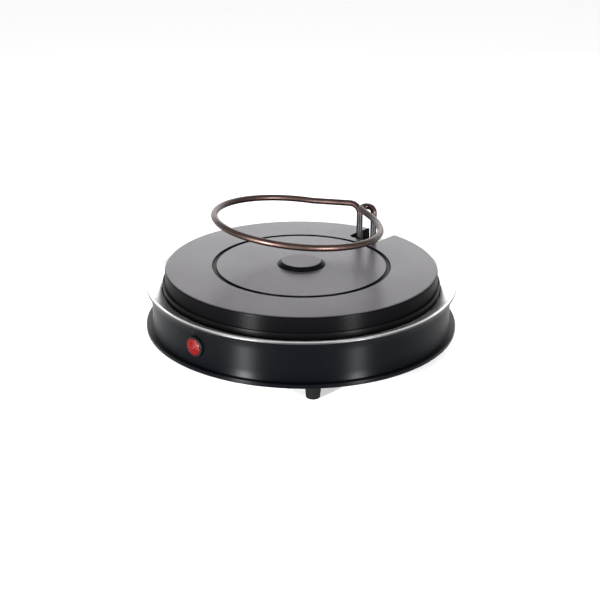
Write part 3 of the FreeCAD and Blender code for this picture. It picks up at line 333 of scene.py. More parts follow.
class Finish:
    """One procedural material, built from nodes and from sums on their values."""

    def __init__(self, name, settings=None):
        self.material = bpy.data.materials.new(name)
        self.material.use_nodes = True
        self.tree = self.material.node_tree
        self.tree.nodes.clear()
        self.surface = self.tree.nodes.new("ShaderNodeBsdfPrincipled")
        output = self.tree.nodes.new("ShaderNodeOutputMaterial")
        self.tree.links.new(self.surface.outputs["BSDF"], output.inputs["Surface"])
        for socket, value in (settings or {}).items():
            self.surface.inputs[socket].default_value = value

    def node(self, kind, settings=None, inputs=None, output=0):
        """Any shader node: its type, its settings, then the values or links of its sockets."""
        node = self.tree.nodes.new("ShaderNode" + kind)
        for name, value in (settings or {}).items():
            if name == "stops":
                self.set_stops(node.color_ramp, value)
            else:
                setattr(node, name, value)
        for socket, value in (inputs or {}).items():
            self.fill(node.inputs[socket], value)
        return Signal(self, node.outputs[output])

    def fill(self, socket, value):
        if isinstance(value, Signal):
            self.tree.links.new(value.socket, socket)
        else:
            socket.default_value = value

    @staticmethod
    def set_stops(ramp, stops):
        while len(ramp.elements) < len(stops):
            ramp.elements.new(0.5)
        for element, (position, shade) in zip(ramp.elements, stops):
            element.position = position
            element.color = (shade, shade, shade, 1)

    def place(self, stretch=(1, 1, 1)):
        """Coordinates that stay with the piece, in metres, stretched per axis."""
        where = self.node("TexCoord", output="Object")
        if stretch == (1, 1, 1):
            return where
        settings = {"operation": "MULTIPLY"}
        return self.node("VectorMath", settings, {0: where, 1: stretch})

    def clouds(self, scale, detail=3.0, stretch=(1, 1, 1), rough=0.5):
        """Soft noise from 0 to 1. Its clouds are about 1 / scale metres wide."""
        inputs = {"Vector": self.place(stretch), "Scale": scale, "Detail": detail, "Roughness": rough}
        return self.node("TexNoise", {}, inputs)

    def cells(self, scale):
        """Distance to the nearest point of an even scatter."""
        inputs = {"Vector": self.place(), "Scale": scale}
        return self.node("TexVoronoi", {}, inputs)

    def lines(self, scale, kind="RINGS", direction="Z", distortion=0.0, detail=2.0):
        """Turning marks round an axis, or bands along it."""
        settings = {"wave_type": kind, kind.lower() + "_direction": direction}
        inputs = {"Vector": self.place(), "Scale": scale, "Distortion": distortion, "Detail": detail}
        return self.node("TexWave", settings, inputs, output="Fac")

    def ramp(self, value, start, end, first=0.0):
        """Goes from first, 0 or 1, to the other as value goes from start to end."""
        return self.node("ValToRGB", {"stops": [(start, first), (end, 1 - first)]}, {"Fac": value})

    def tint(self, share, first, second):
        """Colour that goes from first to second with share."""
        settings = {"data_type": "RGBA"}
        inputs = {"Factor": share, 6: colour(first), 7: colour(second)}
        return self.node("Mix", settings, inputs, output=2)

    def mottle(self, share, shade, dark, pale):
        """One colour, from dark times as bright to pale times."""
        return self.tint(share, scaled(shade, dark), scaled(shade, pale))

    def height(self):
        """Height above the floor, in metres."""
        return self.node("SeparateXYZ", {}, {0: self.place()}, output="Z")

    def out_from_axis(self):
        """Distance from the upright axis, in metres."""
        flat = self.place((1, 1, 0))
        return self.node("VectorMath", {"operation": "LENGTH"}, {0: flat}, output="Value")

    def bump(self, relief, distance, strength=1.0):
        inputs = {"Height": relief, "Distance": distance, "Strength": strength}
        return self.node("Bump", {}, inputs)

    def set(self, base, rough, normal=None, coat=None):
        """Feeds the surface's colour, roughness, normal and coat weight, and gives the material."""
        sockets = {"Base Color": base, "Roughness": rough, "Normal": normal, "Coat Weight": coat}
        for socket, value in sockets.items():
            if value is not None:
                self.fill(self.surface.inputs[socket], value)
        return self.material


def colour(value):
    if isinstance(value, Signal):
        return value
    return (value[0], value[1], value[2], 1)


def scaled(shade, share):
    return tuple(min(1.0, channel * share) for channel in shade[:3])


GLOSS = "Specular IOR Level"
UP_AND_DOWN = {"Anisotropic": 0.9, "Anisotropic Rotation": 0.25}


def nonstick_coat(name, shade, settings):
    """Baked non-stick coat: fine grained, with faint clouds and sparse pale flecks."""
    finish = Finish(name, settings)
    haze = finish.clouds(16, 4)
    grain = finish.clouds(1700, 2)
    cells = finish.cells(620)
    fleck = finish.ramp(cells, 0.0, 0.09, first=1.0)
    coat = finish.mottle(haze, shade, 0.8, 1.25)
    speckled = finish.tint(fleck * 0.16, coat, scaled(shade, 7))
    relief = finish.bump(grain + finish.clouds(420, 3) * 1.6, 0.045 * MM)
    return finish.set(speckled, haze * 0.1 + grain * 0.05 + 0.26, relief)


def carrier_paint(shade):
    """Heat-proof black paint on sheet steel."""
    finish = Finish("carrier_paint", {GLOSS: 0.05, **UP_AND_DOWN})
    haze = finish.clouds(60, 3)
    grain = finish.clouds(1300, 3)
    paint = finish.mottle(haze, shade, 0.7, 1.4)
    return finish.set(paint, haze * 0.12 + 0.34, finish.bump(grain, 0.04 * MM))


def drum_enamel(shade):
    """Blue-black stove enamel with a soft orange peel."""
    finish = Finish("drum_enamel", {GLOSS: 0.05, **UP_AND_DOWN})
    peel = finish.clouds(520, 2)
    haze = finish.clouds(22, 4)
    dust = finish.ramp(finish.clouds(2600, 2), 0.66, 0.82)
    paint = finish.mottle(haze, shade, 0.82, 1.22)
    dusty = finish.tint(dust * 0.12, paint, (0.16, 0.17, 0.19))
    relief = finish.bump(peel, 0.05 * MM, 0.7)
    return finish.set(dusty, haze * 0.08 + dust * 0.1 + 0.33, relief)


def bright_plate(shade, edge):
    """Polished plated sheet with fine spinning marks, a few dull patches and painted dark reflection on the
    rolled edge's outer face.
    """
    finish = Finish("bright_plate", {"Metallic": 1.0})
    marks = finish.lines(5200, distortion=1.2, detail=3)
    haze = finish.clouds(45, 5)
    sheet = finish.mottle(haze, shade, 0.93, 1.05)
    # Painted dark reflection: past edge, the plating's colour falls to a twentieth, standing in for the
    # dark surroundings that the rolled face reflects.
    rolled = finish.ramp((finish.out_from_axis() - edge) / (0.8 * MM), 0.0, 1.0)
    sheet = finish.tint(rolled, sheet, scaled(shade, 0.05))
    relief = finish.bump(marks * 0.4 + finish.clouds(300, 3), 0.02 * MM, 0.6)
    return finish.set(sheet, haze * 0.16 + marks * 0.03 + 0.22, relief)


def heated_sheath(name, bronze, steel, low, high):
    """Stainless sheath, steel grey at low and browned by heat from high up, with blotches between."""
    finish = Finish(name, {"Metallic": 1.0})
    blotch = finish.clouds(70, 5, rough=0.6)
    climb = (finish.height() + blotch * 0.008 - (low + 0.004)) / (high - low)
    heat = finish.ramp(climb, 0.0, 1.0)
    brown = finish.mottle(blotch, bronze, 0.62, 1.5)
    grey = finish.mottle(blotch, steel, 0.75, 1.3)
    scale = finish.clouds(1100, 3)
    relief = finish.bump(scale + blotch * 0.6, 0.035 * MM)
    rough = blotch * 0.2 + scale * 0.08 + 0.24
    return finish.set(finish.tint(heat, grey, brown), rough, relief)


def red_lens_plastic(deep, pale):
    """Clear red plastic over a prism pattern, with a painted highlight: paler where the facets face up and
    towards +x.
    """
    finish = Finish("red_lens_plastic", {"IOR": 1.49, GLOSS: 0.04, "Coat Roughness": 0.08})
    facets = finish.node("NewGeometry", output="Normal")
    inputs = {0: facets, 1: (0.7, 0, 0.7)}
    painted_light_facing = finish.node("VectorMath", {"operation": "DOT_PRODUCT"}, inputs, output="Value")
    # Painted highlight: facets turned towards a fixed direction, up and towards +x, take the paler red.
    shine = finish.ramp(painted_light_facing * 0.9 + finish.clouds(700, 2) * 0.3 + 0.1, 0.42, 0.95)
    body = finish.tint(shine, deep, pale)
    return finish.set(body, finish.clouds(900, 2) * 0.1 + 0.1, coat=shine * 0.16)


def moulded_black(shade):
    """Moulded black thermoplastic with a fine spark-eroded grain."""
    finish = Finish("moulded_black", {"IOR": 1.48, GLOSS: 0.07})
    grain = finish.clouds(2300, 3)
    haze = finish.clouds(130, 3)
    resin = finish.mottle(haze, shade, 0.8, 1.35)
    return finish.set(resin, grain * 0.14 + 0.3, finish.bump(grain, 0.03 * MM))


def foot_rubber(shade):
    """Dull black rubber, dusted grey in patches."""
    finish = Finish("foot_rubber_compound", {"IOR": 1.45, GLOSS: 0.06})
    grain = finish.clouds(1500, 4)
    dust = finish.ramp(finish.clouds(240, 4), 0.5, 0.75)
    rubber = finish.tint(dust * 0.3, shade, scaled(shade, 3.0))
    return finish.set(rubber, grain * 0.2 + 0.58, finish.bump(grain, 0.06 * MM))


def zinc_plating(shade):
    """Passivated zinc on steel, faintly straw and blue."""
    finish = Finish("zinc_plating", {"Metallic": 1.0})
    spangle = finish.cells(420)
    cloud = finish.clouds(150, 4)
    cool = finish.tint(cloud, scaled(shade, 0.82), (shade[0] * 1.08, shade[1] * 1.02, shade[2] * 0.88))
    relief = finish.bump(spangle + finish.clouds(1900, 2) * 0.5, 0.02 * MM)
    return finish.set(cool, cloud * 0.2 + spangle * 0.1 + 0.22, relief)


def steatite():
    """Fired steatite: cream, matt, with faint specks."""
    finish = Finish("steatite", {"IOR": 1.55, GLOSS: 0.4})
    speck = finish.ramp(finish.clouds(1500, 3), 0.62, 0.74)
    body = finish.tint(finish.clouds(90, 3), (0.72, 0.67, 0.57), (0.84, 0.80, 0.71))
    fired = finish.tint(speck * 0.5, body, (0.42, 0.36, 0.28))
    relief = finish.bump(finish.clouds(1800, 3), 0.03 * MM)
    return finish.set(fired, speck * 0.1 + 0.46, relief)


def turned_metal(name, shade, rough):
    """Bright turned metal with rings about the upright axis."""
    finish = Finish(name, {"Metallic": 1.0})
    rings = finish.lines(4200, distortion=0.8)
    tarnish = finish.clouds(260, 4)
    metal = finish.mottle(tarnish, shade, 0.72, 1.08)
    relief = finish.bump(rings + finish.clouds(2400, 2), 0.012 * MM)
    return finish.set(metal, tarnish * 0.16 + rings * 0.04 + rough, relief)


def fibre_board():
    """Pressed mineral fibre board, buff, with short fibres."""
    finish = Finish("fibre_board", {GLOSS: 0.2})
    along = finish.clouds(900, 4, stretch=(1, 0.16, 1))
    across = finish.clouds(800, 4, stretch=(0.14, 1, 1))
    body = finish.tint(along, (0.46, 0.40, 0.30), (0.70, 0.64, 0.52))
    scorched = finish.tint(finish.clouds(30, 3) * 0.4, body, (0.30, 0.24, 0.17))
    relief = finish.bump(along + across, 0.12 * MM)
    return finish.set(scorched, across * 0.1 + 0.84, relief)


def bulb_glass():
    """Clear lamp glass with a faint orange bloom and patchy haze."""
    finish = Finish("bulb_glass_clear", {"IOR": 1.5, "Transmission Weight": 0.85})
    haze = finish.clouds(500, 3)
    body = finish.tint(haze, (0.95, 0.86, 0.78), (1.0, 0.95, 0.9))
    return finish.set(body, haze * 0.12 + 0.04)


def woven_sleeve(name, first, second):
    """Braided glass-fibre sleeve: two crossing runs of thread."""
    pitch = 900
    finish = Finish(name, {GLOSS: 0.3})
    over = finish.lines(pitch, kind="BANDS", direction="DIAGONAL", distortion=0.5)
    under = finish.lines(pitch, kind="BANDS", direction="X", distortion=0.5)
    weave = over * 0.5 + under * 0.5
    thread = finish.tint(weave, first, second)
    fuzz = finish.clouds(2600, 3)
    relief = finish.bump(weave + fuzz * 0.3, 0.09 * MM)
    return finish.set(thread, fuzz * 0.1 + 0.66, relief)


def lead_cover(name, shade, stripe):
    """Smooth wire cover with a stripe that winds along it and a dull bloom."""
    finish = Finish(name, {"IOR": 1.42, GLOSS: 0.4})
    wind = finish.lines(55, kind="BANDS", direction="DIAGONAL")
    band = finish.ramp(wind, 0.48, 0.56)
    bloom = finish.clouds(400, 4)
    cover = finish.tint(band, shade, stripe)
    worn = finish.tint(bloom * 0.2, cover, scaled(shade, 1.6))
    return finish.set(worn, bloom * 0.16 + 0.38, finish.bump(bloom, 0.04 * MM))


# ---- what a user may change ----


def length(name, description, default):
    return FloatProperty(
        name=name, description=description, default=default, min=0, max=1, unit="LENGTH", precision=4
    )


def shade(name, description, default):
    return FloatVectorProperty(
        name=name, description=description, default=default, size=3, min=0, max=1, subtype="COLOR"
    )


def amount(name, description, default, unit="NONE"):
    return FloatProperty(name=name, description=description, default=default, min=0, unit=unit)


def family(kind, name, description):
    return PointerProperty(type=kind, name=name, description=description)


class BakingPlateSettings(PropertyGroup):
    radius: length("Radius", "Outer radius of the plate's skirt", PLATE_BOX[1].x)
    edge: length("Edge rounding", "Radius of the top edge", 2 * MM)
    groove_radius: length("Groove radius", "Mean radius of the ring groove", 87.1 * MM)
    groove_width: length("Groove width", "Width of the groove at the surface", 4.5 * MM)
    groove_depth: length("Groove depth", "Depth of the groove", 1.5 * MM)
    boss_radius: length("Boss radius", "Radius of the centre boss at its foot", 24.3 * MM)
    boss_height: length("Boss height", "Rise of the centre boss", 3.8 * MM)
    coat: shade("Coat", "Colour of the non-stick coat", (0.0115, 0.0084, 0.0140))


class BaseSettings(PropertyGroup):
    rim_radius: length("Rim radius", "Outer radius of the pan's rolled rim", PAN_BOX[1].x)
    pan_ripple: length("Pan ripple", "Unevenness of the bright pan's slope", 0.14 * MM)
    enamel: shade("Enamel", "Colour of the drum's enamel", (0.0002, 0.0004, 0.0008))
    plating: shade("Plating", "Colour of the bright pan", (0.70, 0.695, 0.705))
    carrier: shade("Carrier", "Colour of the plate carrier", (0.0014, 0.0014, 0.0016))
    rubber: shade("Rubber", "Colour of the feet", (0.0020, 0.0020, 0.0021))


class ElementSettings(PropertyGroup):
    tube_radius: length("Tube radius", "Radius of the heating elements' sheath", 3.25 * MM)
    ring_radius: length("Ring radius", "Radius of the upper element's ring", 83.5 * MM)
    bronze: shade("Bronze", "Colour of the sheath where heat has browned it", (0.043, 0.0275, 0.0245))
    steel: shade("Steel", "Colour of the sheath on the legs", (0.031, 0.032, 0.035))


class LampSettings(PropertyGroup):
    facet_depth: length("Facet depth", "Depth of the lens's prism facets", 0.42 * MM)
    deep_red: shade("Deep red", "Colour of the lens in its shadows", (0.050, 0.0010, 0.0012))
    pale_red: shade("Pale red", "Colour of the lens where it catches light", (0.098, 0.024, 0.022))
    resin: shade("Resin", "Colour of the bezel and the cord gland", (0.0016, 0.0016, 0.0017))


class FixingSettings(PropertyGroup):
    recess: length("Recess", "Length of the cross recess in a screw head", 3.4 * MM)
    zinc: shade("Zinc", "Colour of the zinc plating", (0.60, 0.61, 0.62))


class StudioSettings(PropertyGroup):
    floor: shade("Floor", "Colour of the floor", (0.93, 0.93, 0.93))
    sky: amount("Sky", "Strength of the light all round", 1.0)
    key: amount("Key", "Power of the large light behind", 11.5, "POWER")
    strips: amount("Strips", "Power of the strip lights", 58.0, "POWER")
    lens: amount("Lens", "Focal length of the camera", 66.0, "CAMERA")


class HotPlateSettings(PropertyGroup):
    plate: family(BakingPlateSettings, "Baking plate", "Plate sizes and coat")
    base: family(BaseSettings, "Base", "Drum, pan, carrier and feet")
    element: family(ElementSettings, "Elements", "Heating elements")
    lamp: family(LampSettings, "Lamp", "Pilot lamp and cord gland")
    fixing: family(FixingSettings, "Fixings", "Screws and small metal")
    studio: family(StudioSettings, "Studio", "Floor, lights and camera")
    segments: IntProperty(
        name="Segments", description="Steps round the large turned pieces", default=288, min=48
    )


# ---- the pieces ----


class PieceOperator(Operator):
    """Base of the operators. It finds the settings and reports that the piece is made."""

    bl_options = {"REGISTER", "UNDO"}

    def execute(self, context):
        self.make(context.scene.hot_plate)
        return {"FINISHED"}


def notch_outline(half, inner, corner, far):
    """A radial slot in the plate, open to the back."""
    corners = [(-half, far, 0), (-half, inner, corner), (half, inner, corner), (half, far, 0)]
    placed_corners = [(Vector((x * MM, y * MM)), radius * MM) for x, y, radius in corners]
    return [tuple(point) for point in bent_line(placed_corners, closed=True, step=7)]


class HOTPLATE_OT_baking_plate(PieceOperator):
    """Cast baking plate with its ring groove, centre boss and the notch that the element's legs pass"""

    bl_idname = "hotplate.baking_plate"
    bl_label = "Baking plate"

    def make(self, settings):
        plate = settings.plate
        skirt = plate.radius / MM
        low = PLATE_BOX[0].z / MM
        top = (PLATE_BOX[1].z - plate.boss_height) / MM
        under = top - 6
        groove = plate.groove_radius / MM
        half = plate.groove_width / MM / 2
        deep = plate.groove_depth / MM
        boss = plate.boss_radius / MM
        crown = top + plate.boss_height / MM
        mesh = lathe(profile([
            (0, under), (skirt - 5.8, under, 1.5), (skirt - 5.1, low, 0.4), (skirt, low, 0.5),
            (skirt - 0.7, top, plate.edge / MM), (groove + half + 0.1, top, 0.45),
            (groove + half - 0.75, top - deep, 0.3), (groove - half + 0.75, top - deep, 0.3),
            (groove - half - 0.1, top, 0.45), (boss + 0.2, top, 1.2), (boss - 4.7, crown, 1.3),
            (0, crown),
        ]), settings.segments)
        wall = prism(notch_outline(21, 94, 10, skirt - 3.2), low * MM, (under + 1) * MM)
        mesh = carve(mesh, wall, "UNION")
        slot = prism(notch_outline(17, 98, 6, skirt + 5), (low - 1) * MM, (crown + 1) * MM)
        mesh = carve(mesh, slot)
        inner, outer = notch_outline(16.8, 98.2, 6, skirt + 5), notch_outline(18, 97, 6, skirt + 5)
        mesh = carve(mesh, prism(inner, (top - 1.1) * MM, (top + 0.7) * MM, outer))
        shine = {GLOSS: 0.42, "Specular Tint": (0.97, 0.93, 1.0, 1)}
        coat = nonstick_coat("nonstick_coat", plate.coat, shine)
        casting = add_piece("baking_plate_casting", mesh, coat, "baking_plate", "plate")
        # Painted shade: the skirt, notch walls, groove sides, boss slope and groove floor get a copy of the
        # coat about ten times darker than the top.
        dull = {GLOSS: 0.022, **UP_AND_DOWN}
        casting.data.materials.append(nonstick_coat("nonstick_coat_shaded_sides", (0.0010, 0.0009, 0.0011), dull))
        for face in casting.data.polygons:
            away = face.center.xy.length / MM - groove
            shaded_groove_floor = face.center.z < (top - 0.6) * MM and abs(away) < half and face.normal.z > 0
            face.material_index = 1 if shaded_groove_floor or abs(face.normal.z) < 0.85 else 0


class HOTPLATE_OT_carrier(PieceOperator):
    """Pressed ring that the plate stands on, with the lip round the plate's skirt"""

    bl_idname = "hotplate.carrier"
    bl_label = "Plate carrier"

    def make(self, settings):
        lip = CARRIER_BOX[1].x / MM
        low = CARRIER_BOX[0].z / MM
        top = CARRIER_BOX[1].z / MM
        seat = PLATE_BOX[0].z / MM
        outer = lip - 1.2
        mesh = lathe(profile([
            (outer, low, 0.9), (outer, top - 3, 0.4), (lip, top - 3, 0.5), (lip, top, 0.6),
            (lip - 1.4, top, 0.4), (lip - 1.4, seat), (lip - 12, seat, 0.4),
            (lip - 12, seat - 1.2, 0.4), (outer - 1.2, seat - 1.2, 0.5),
            (outer - 1.2, low + 1.2, 0.4), (lip - 12, low + 1.2, 0.4), (lip - 12, low, 0.4),
        ], hold=0.12 * MM), settings.segments)
        mesh = drilled(mesh, [(CARRIER_FIXINGS, LARGE_HOLE)], low - 2, low + 4)
        paint = carrier_paint(settings.base.carrier)
        add_piece("plate_carrier_ring", mesh, paint, "plate_carrier")


def coil_ends():
    """Where the lower element turns down, right and left, in millimetres."""
    ahead = 9.5
    x, y = polar(COIL_INNER, COIL_DROP)
    run_x, run_y = polar(ahead, COIL_DROP + 90)
    return [(x + run_x, y + run_y), (-(x + run_x), y + run_y)]


class HOTPLATE_OT_pan(PieceOperator):
    """Bright reflector pan with its rolled rim and slightly uneven slope"""

    bl_idname = "hotplate.reflector_pan"
    bl_label = "Reflector pan"

    def make(self, settings):
        rim = settings.base.rim_radius / MM
        top = PAN_BOX[1].z / MM
        under = PAN_BOX[0].z / MM
        floor = under + 1
        outline = profile([
            (11, under), (rim - 15.4, under, 0.5), (rim - 14.3, top - 5.95, 1.2),
            (rim - 3.7, top - 1.9, 0.6), (rim - 2.8, top - 1, 0.5), (rim - 1, top - 1, 0.4),
            (rim - 1, top - 2.2), (rim, top - 2.2, 0.3), (rim, top, 1.5), (rim - 3.1, top, 0.8),
            (rim - 4, top - 0.9, 0.5), (rim - 15.3, top - 5.2, 0.8), (rim - 16.4, floor, 1.1),
            (11, floor),
        ], hold=0.15 * MM)
        ripple = settings.base.pan_ripple
        slope_low = (rim - 15.4) * MM
        slope_top = (rim - 3.9) * MM

        def uneven(radius, high, angle):
            if not slope_low < radius < slope_top:
                return radius, high
            share = math.sin(math.pi * (radius - slope_low) / (slope_top - slope_low))
            around = Vector((math.cos(angle), math.sin(angle), 0))
            wave = noise.noise(around * 5) + 0.4 * noise.noise(around * 13)
            return radius, high + ripple * share * wave

        mesh = lathe(outline, settings.segments * 2, uneven)
        bush_hole = 6.1
        holes = [
            ([(LEG_HALF, LEG_BACK), (-LEG_HALF, LEG_BACK)] + coil_ends(), bush_hole),
            (PILLARS + CARRIER_FIXINGS + BRACKET_FIXINGS, LARGE_HOLE),
            (THERMOSTAT_FIXINGS + FUSE_FIXING + SUPPORTS, SMALL_HOLE),
        ]
        mesh = drilled(mesh, holes, under - 2, floor + 2)
        plating = bright_plate(settings.base.plating, (rim - 0.9) * MM)
        add_piece("reflector_pan_bright", mesh, plating, "reflector_pan")


def side_ways(y):
    """Turns an upright shape to point out of the wall at y, in millimetres, at the lamp's height."""
    turn = math.radians(90 if y < 0 else -90)
    return Matrix.Translation((0, y * MM, SIDE_HEIGHT * MM)) @ Matrix.Rotation(turn, 4, "X")


class HOTPLATE_OT_drum_wall(PieceOperator):
    """Enamelled drum wall, waisted between its flared foot and top"""

    bl_idname = "hotplate.drum_wall"
    bl_label = "Drum wall"

    def make(self, settings):
        low = WALL_BOX[0].z / MM
        top = WALL_BOX[1].z / MM
        foot_flare, foot_high, flare_high, steps = 1.6, 8, 11, 14
        face = []
        for index in range(steps + 1):
            share = 1 - index / steps
            face.append((WAIST + foot_flare * share * share, low + foot_high * (1 - share)))
        for index in range(1, 2 * steps + 1):
            share = index / (2 * steps)
            face.append((WAIST + FLARE * share * share, top - flare_high * (1 - share)))
        inner = [(radius - 1, high) for radius, high in reversed(face)]
        mesh = lathe(profile(face + inner), settings.segments)
        hole = prism(disc(0, 0, 8.1 * MM), -8 * MM, 8 * MM)
        tools = [placed(hole, side_ways(side * WAIST)) for side in (-1, 1)]
        mesh = carve(mesh, joined(tools))
        enamel = drum_enamel(settings.base.enamel)
        add_piece("drum_wall_enamelled", mesh, enamel, "side_wall")


class HOTPLATE_OT_bottom_cover(PieceOperator):
    """Bottom cover with its folded edge, a pressed bead and radial vent slots"""

    bl_idname = "hotplate.bottom_cover"
    bl_label = "Bottom cover"

    def make(self, settings):
        edge = COVER_BOX[1].x / MM
        low = COVER_BOX[0].z / MM
        top = COVER_BOX[1].z / MM
        step = edge - 7
        mesh = lathe(profile([
            (0, low), (126.5, low, 0.5), (127.7, low + 0.8, 0.5), (130.3, low + 0.8, 0.5),
            (131.5, low, 0.5), (step + 1, low, 0.6), (step + 1, top - 1, 0.3),
            (edge - 1, top - 1, 0.3), (edge - 1, low), (edge, low, 0.35), (edge, top, 0.85),
            (step, top, 0.5), (step, low + 1, 0.3), (132, low + 1, 0.5),
            (130.7, low + 1.8, 0.5), (127.3, low + 1.8, 0.5), (126, low + 1, 0.5), (0, low + 1),
        ], hold=0.1 * MM), settings.segments)
        holes = [(FEET + PILLARS + EARTH_STUD, LARGE_HOLE), (BLOCK_FIXINGS, SMALL_HOLE)]
        mesh = drilled(mesh, holes, low - 2, low + 3)
        ends = [(52, -2, 1.9), (72, -2, 1.9), (72, 2, 1.9), (52, 2, 1.9)]
        corners = [(Vector((x * MM, y * MM)), radius * MM) for x, y, radius in ends]
        slot = prism([tuple(point) for point in bent_line(corners, closed=True, step=15)], 13 * MM, 18 * MM)
        slots = [placed(slot, Matrix.Rotation(math.radians(20 * index), 4, "Z")) for index in range(18)]
        mesh = carve(mesh, joined(slots))
        enamel = drum_enamel(settings.base.enamel)
        add_piece("bottom_cover_pressed", mesh, enamel, "bottom_cover")


class HOTPLATE_OT_feet(PieceOperator):
    """Four rubber feet with eased edges and a screw recess"""

    bl_idname = "hotplate.feet"
    bl_label = "Feet"

    def make(self, settings):
        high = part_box("foot_front_left")[1].z / MM
        outline = profile([
            (3.6, 0, 0.4), (6.45, 0, 1.1), (7.62, high - 1.4, 0.25), (7.75, high - 1.2, 0.2),
            (7.75, high, 0.3), (2.05, high), (2.05, 8), (3.6, 8, 0.3),
        ], hold=0.06 * MM)
        foot = lathe(outline, 72)
        rubber = foot_rubber(settings.base.rubber)
        for corner, angle in CORNERS.items():
            x, y = polar(FEET_CIRCLE * MM, angle)
            mesh = placed(foot, Matrix.Translation((x, y, 0)))
            add_piece("rubber_foot_" + corner, mesh, rubber, "foot_" + corner)


def touching_corners(radius, start, end, steps):
    """Corners of the flat polygon round a circle of radius, from start to end in degrees."""
    step = (end - start) / steps
    reach = radius / math.cos(math.radians(step / 2))
    return [Vector(polar(reach, start + step * (index + 0.5)) + (0,)) for index in range(steps)]


def beside_circle(radius, degrees, ahead):
    """A point ahead millimetres along the circle's tangent at degrees, anticlockwise."""
    x, y = polar(radius, degrees)
    run_x, run_y = polar(ahead, degrees + 90)
    return Vector((x + run_x, y + run_y, 0))


def bent_rod(points, radii, radius):
    """A heating element's sheath along points, in millimetres, with a bend radius at each inner one."""
    corners = [(point * MM, bend * MM) for point, bend in zip(points, [0] + radii + [0])]
    return tube(bent_line(corners, closed=False, step=4), radius, 40)


class HOTPLATE_OT_upper_element(PieceOperator):
    """Ring element over the plate, its two legs and the hairpin where it ends"""

    bl_idname = "hotplate.upper_element"
    bl_label = "Upper element"

    def make(self, settings):
        element = settings.element
        radius = element.ring_radius / MM
        low = UPPER_BOX[0].z / MM
        leaves, ends, steps = 122, 430, 12
        rise_left, rise_front, centre = math.radians(2.8), math.radians(-4.7), (-13, 9, 115.2)
        tilt = Matrix.Rotation(rise_left, 4, "Y") @ Matrix.Rotation(rise_front, 4, "X")
        ring = Matrix.Translation(centre) @ tilt
        leg, back = LEG_HALF, LEG_BACK
        points = [Vector((-leg, back, low)), Vector((-leg, back, 111.4))]
        points.append(ring @ beside_circle(radius, leaves, -4))
        points += [ring @ corner for corner in touching_corners(radius, leaves, ends, steps)]
        points += [Vector((-2.6, back - 8.6, 109.7)), Vector((-2.6, back + 3.2, 110.7))]
        points += [Vector((leg, back, 109.3)), Vector((leg, back, low))]
        radii = [11, 28] + [radius] * steps + [5.2, 5.2, 5.2]
        mesh = bent_rod(points, radii, element.tube_radius)
        sheath = heated_sheath("ring_sheath", element.bronze, element.steel, 0.094, 0.112)
        add_piece("upper_element_ring", mesh, sheath, "upper_element")


class HOTPLATE_OT_lower_element(PieceOperator):
    """Two-loop element under the plate"""

    bl_idname = "hotplate.lower_element"
    bl_label = "Lower element"

    def make(self, settings):
        element = settings.element
        inner, outer, bend, turn, last_bend = COIL_INNER, 112, 14, 118, 9
        low = LOWER_BOX[0].z / MM
        high = LOWER_BOX[1].z / MM - element.tube_radius / MM
        x, y = coil_ends()[0]
        x = abs(x)
        half = touching_corners(inner, COIL_DROP, turn, 5)
        half += [beside_circle(inner, turn, -bend), beside_circle(outer, turn, -bend)]
        loop = touching_corners(outer, turn, 540 - turn, 12)
        flat = [Vector((-x, y, 0))] + half + loop
        flat += [Vector((-point.x, point.y, 0)) for point in reversed(half)] + [Vector((x, y, 0))]
        points = [Vector((-x, y, low))] + [point + Vector((0, 0, high)) for point in flat]
        points.append(Vector((x, y, low)))
        side = [inner] * 5 + [bend, bend]
        radii = [last_bend] + side + [outer] * 12 + side[::-1] + [last_bend]
        mesh = bent_rod(points, radii, element.tube_radius)
        bronze = scaled(element.bronze, 0.62)
        sheath = heated_sheath("coil_sheath", bronze, element.steel, 0.05, 0.066)
        add_piece("lower_element_coil", mesh, sheath, "lower_element")


class HOTPLATE_OT_pilot_lamp(PieceOperator):
    """Pilot lamp: a red lens with prism facets in a black bezel"""

    bl_idname = "hotplate.pilot_lamp"
    bl_label = "Pilot lamp"

    def make(self, settings):
        lamp = settings.lamp
        at_wall = side_ways(-WAIST)
        window, barrel, flange = 6.8, 8, BEZEL_BOX[1].x / MM
        back = -(WAIST + BEZEL_BOX[1].y / MM)
        bezel = profile([
            (window, back), (barrel, back, 0.3), (barrel, 0), (flange, 0, 0.2),
            (flange, 2.2, 0.9), (barrel + 0.1, 2.2, 0.3), (barrel + 0.1, 0.8), (window, 0.8),
        ], hold=0.05 * MM)
        resin = moulded_black(lamp.resin)
        mesh = placed(lathe(bezel, 96), at_wall)
        add_piece("lamp_bezel_ring", mesh, resin, "lamp_bezel")
        crown = -(WAIST + LENS_BOX[0].y / MM)
        rise = crown - 2.2
        rings = 6
        dome = []
        for index in range(rings + 1):
            radius = barrel * (1 - index / rings)
            dome.append((radius, 2.2 + rise * (1 - (radius / barrel) ** 2)))
        body = [(0, 3.2), (5.7, 0.8), (5.7, -3), (6.7, -3), (6.7, 0.85), (barrel, 0.85)]
        outline = profile(body + dome)
        facet = lamp.facet_depth
        sectors = 32

        def prisms(radius, high, angle):
            share = radius / (barrel * MM)
            level = round(share * rings)
            on_face = high > 2.25 * MM and 0 < level < rings and abs(share * rings - level) < 0.01
            sector = round(angle / FULL_TURN * sectors) // 2
            if on_face and (level + sector) % 2:
                return radius, high - facet
            return radius, high

        mesh = placed(lathe(outline, sectors, prisms), at_wall)
        red = red_lens_plastic(lamp.deep_red, lamp.pale_red)
        add_piece("lamp_lens_faceted", mesh, red, "lamp_lens", sharp=4)


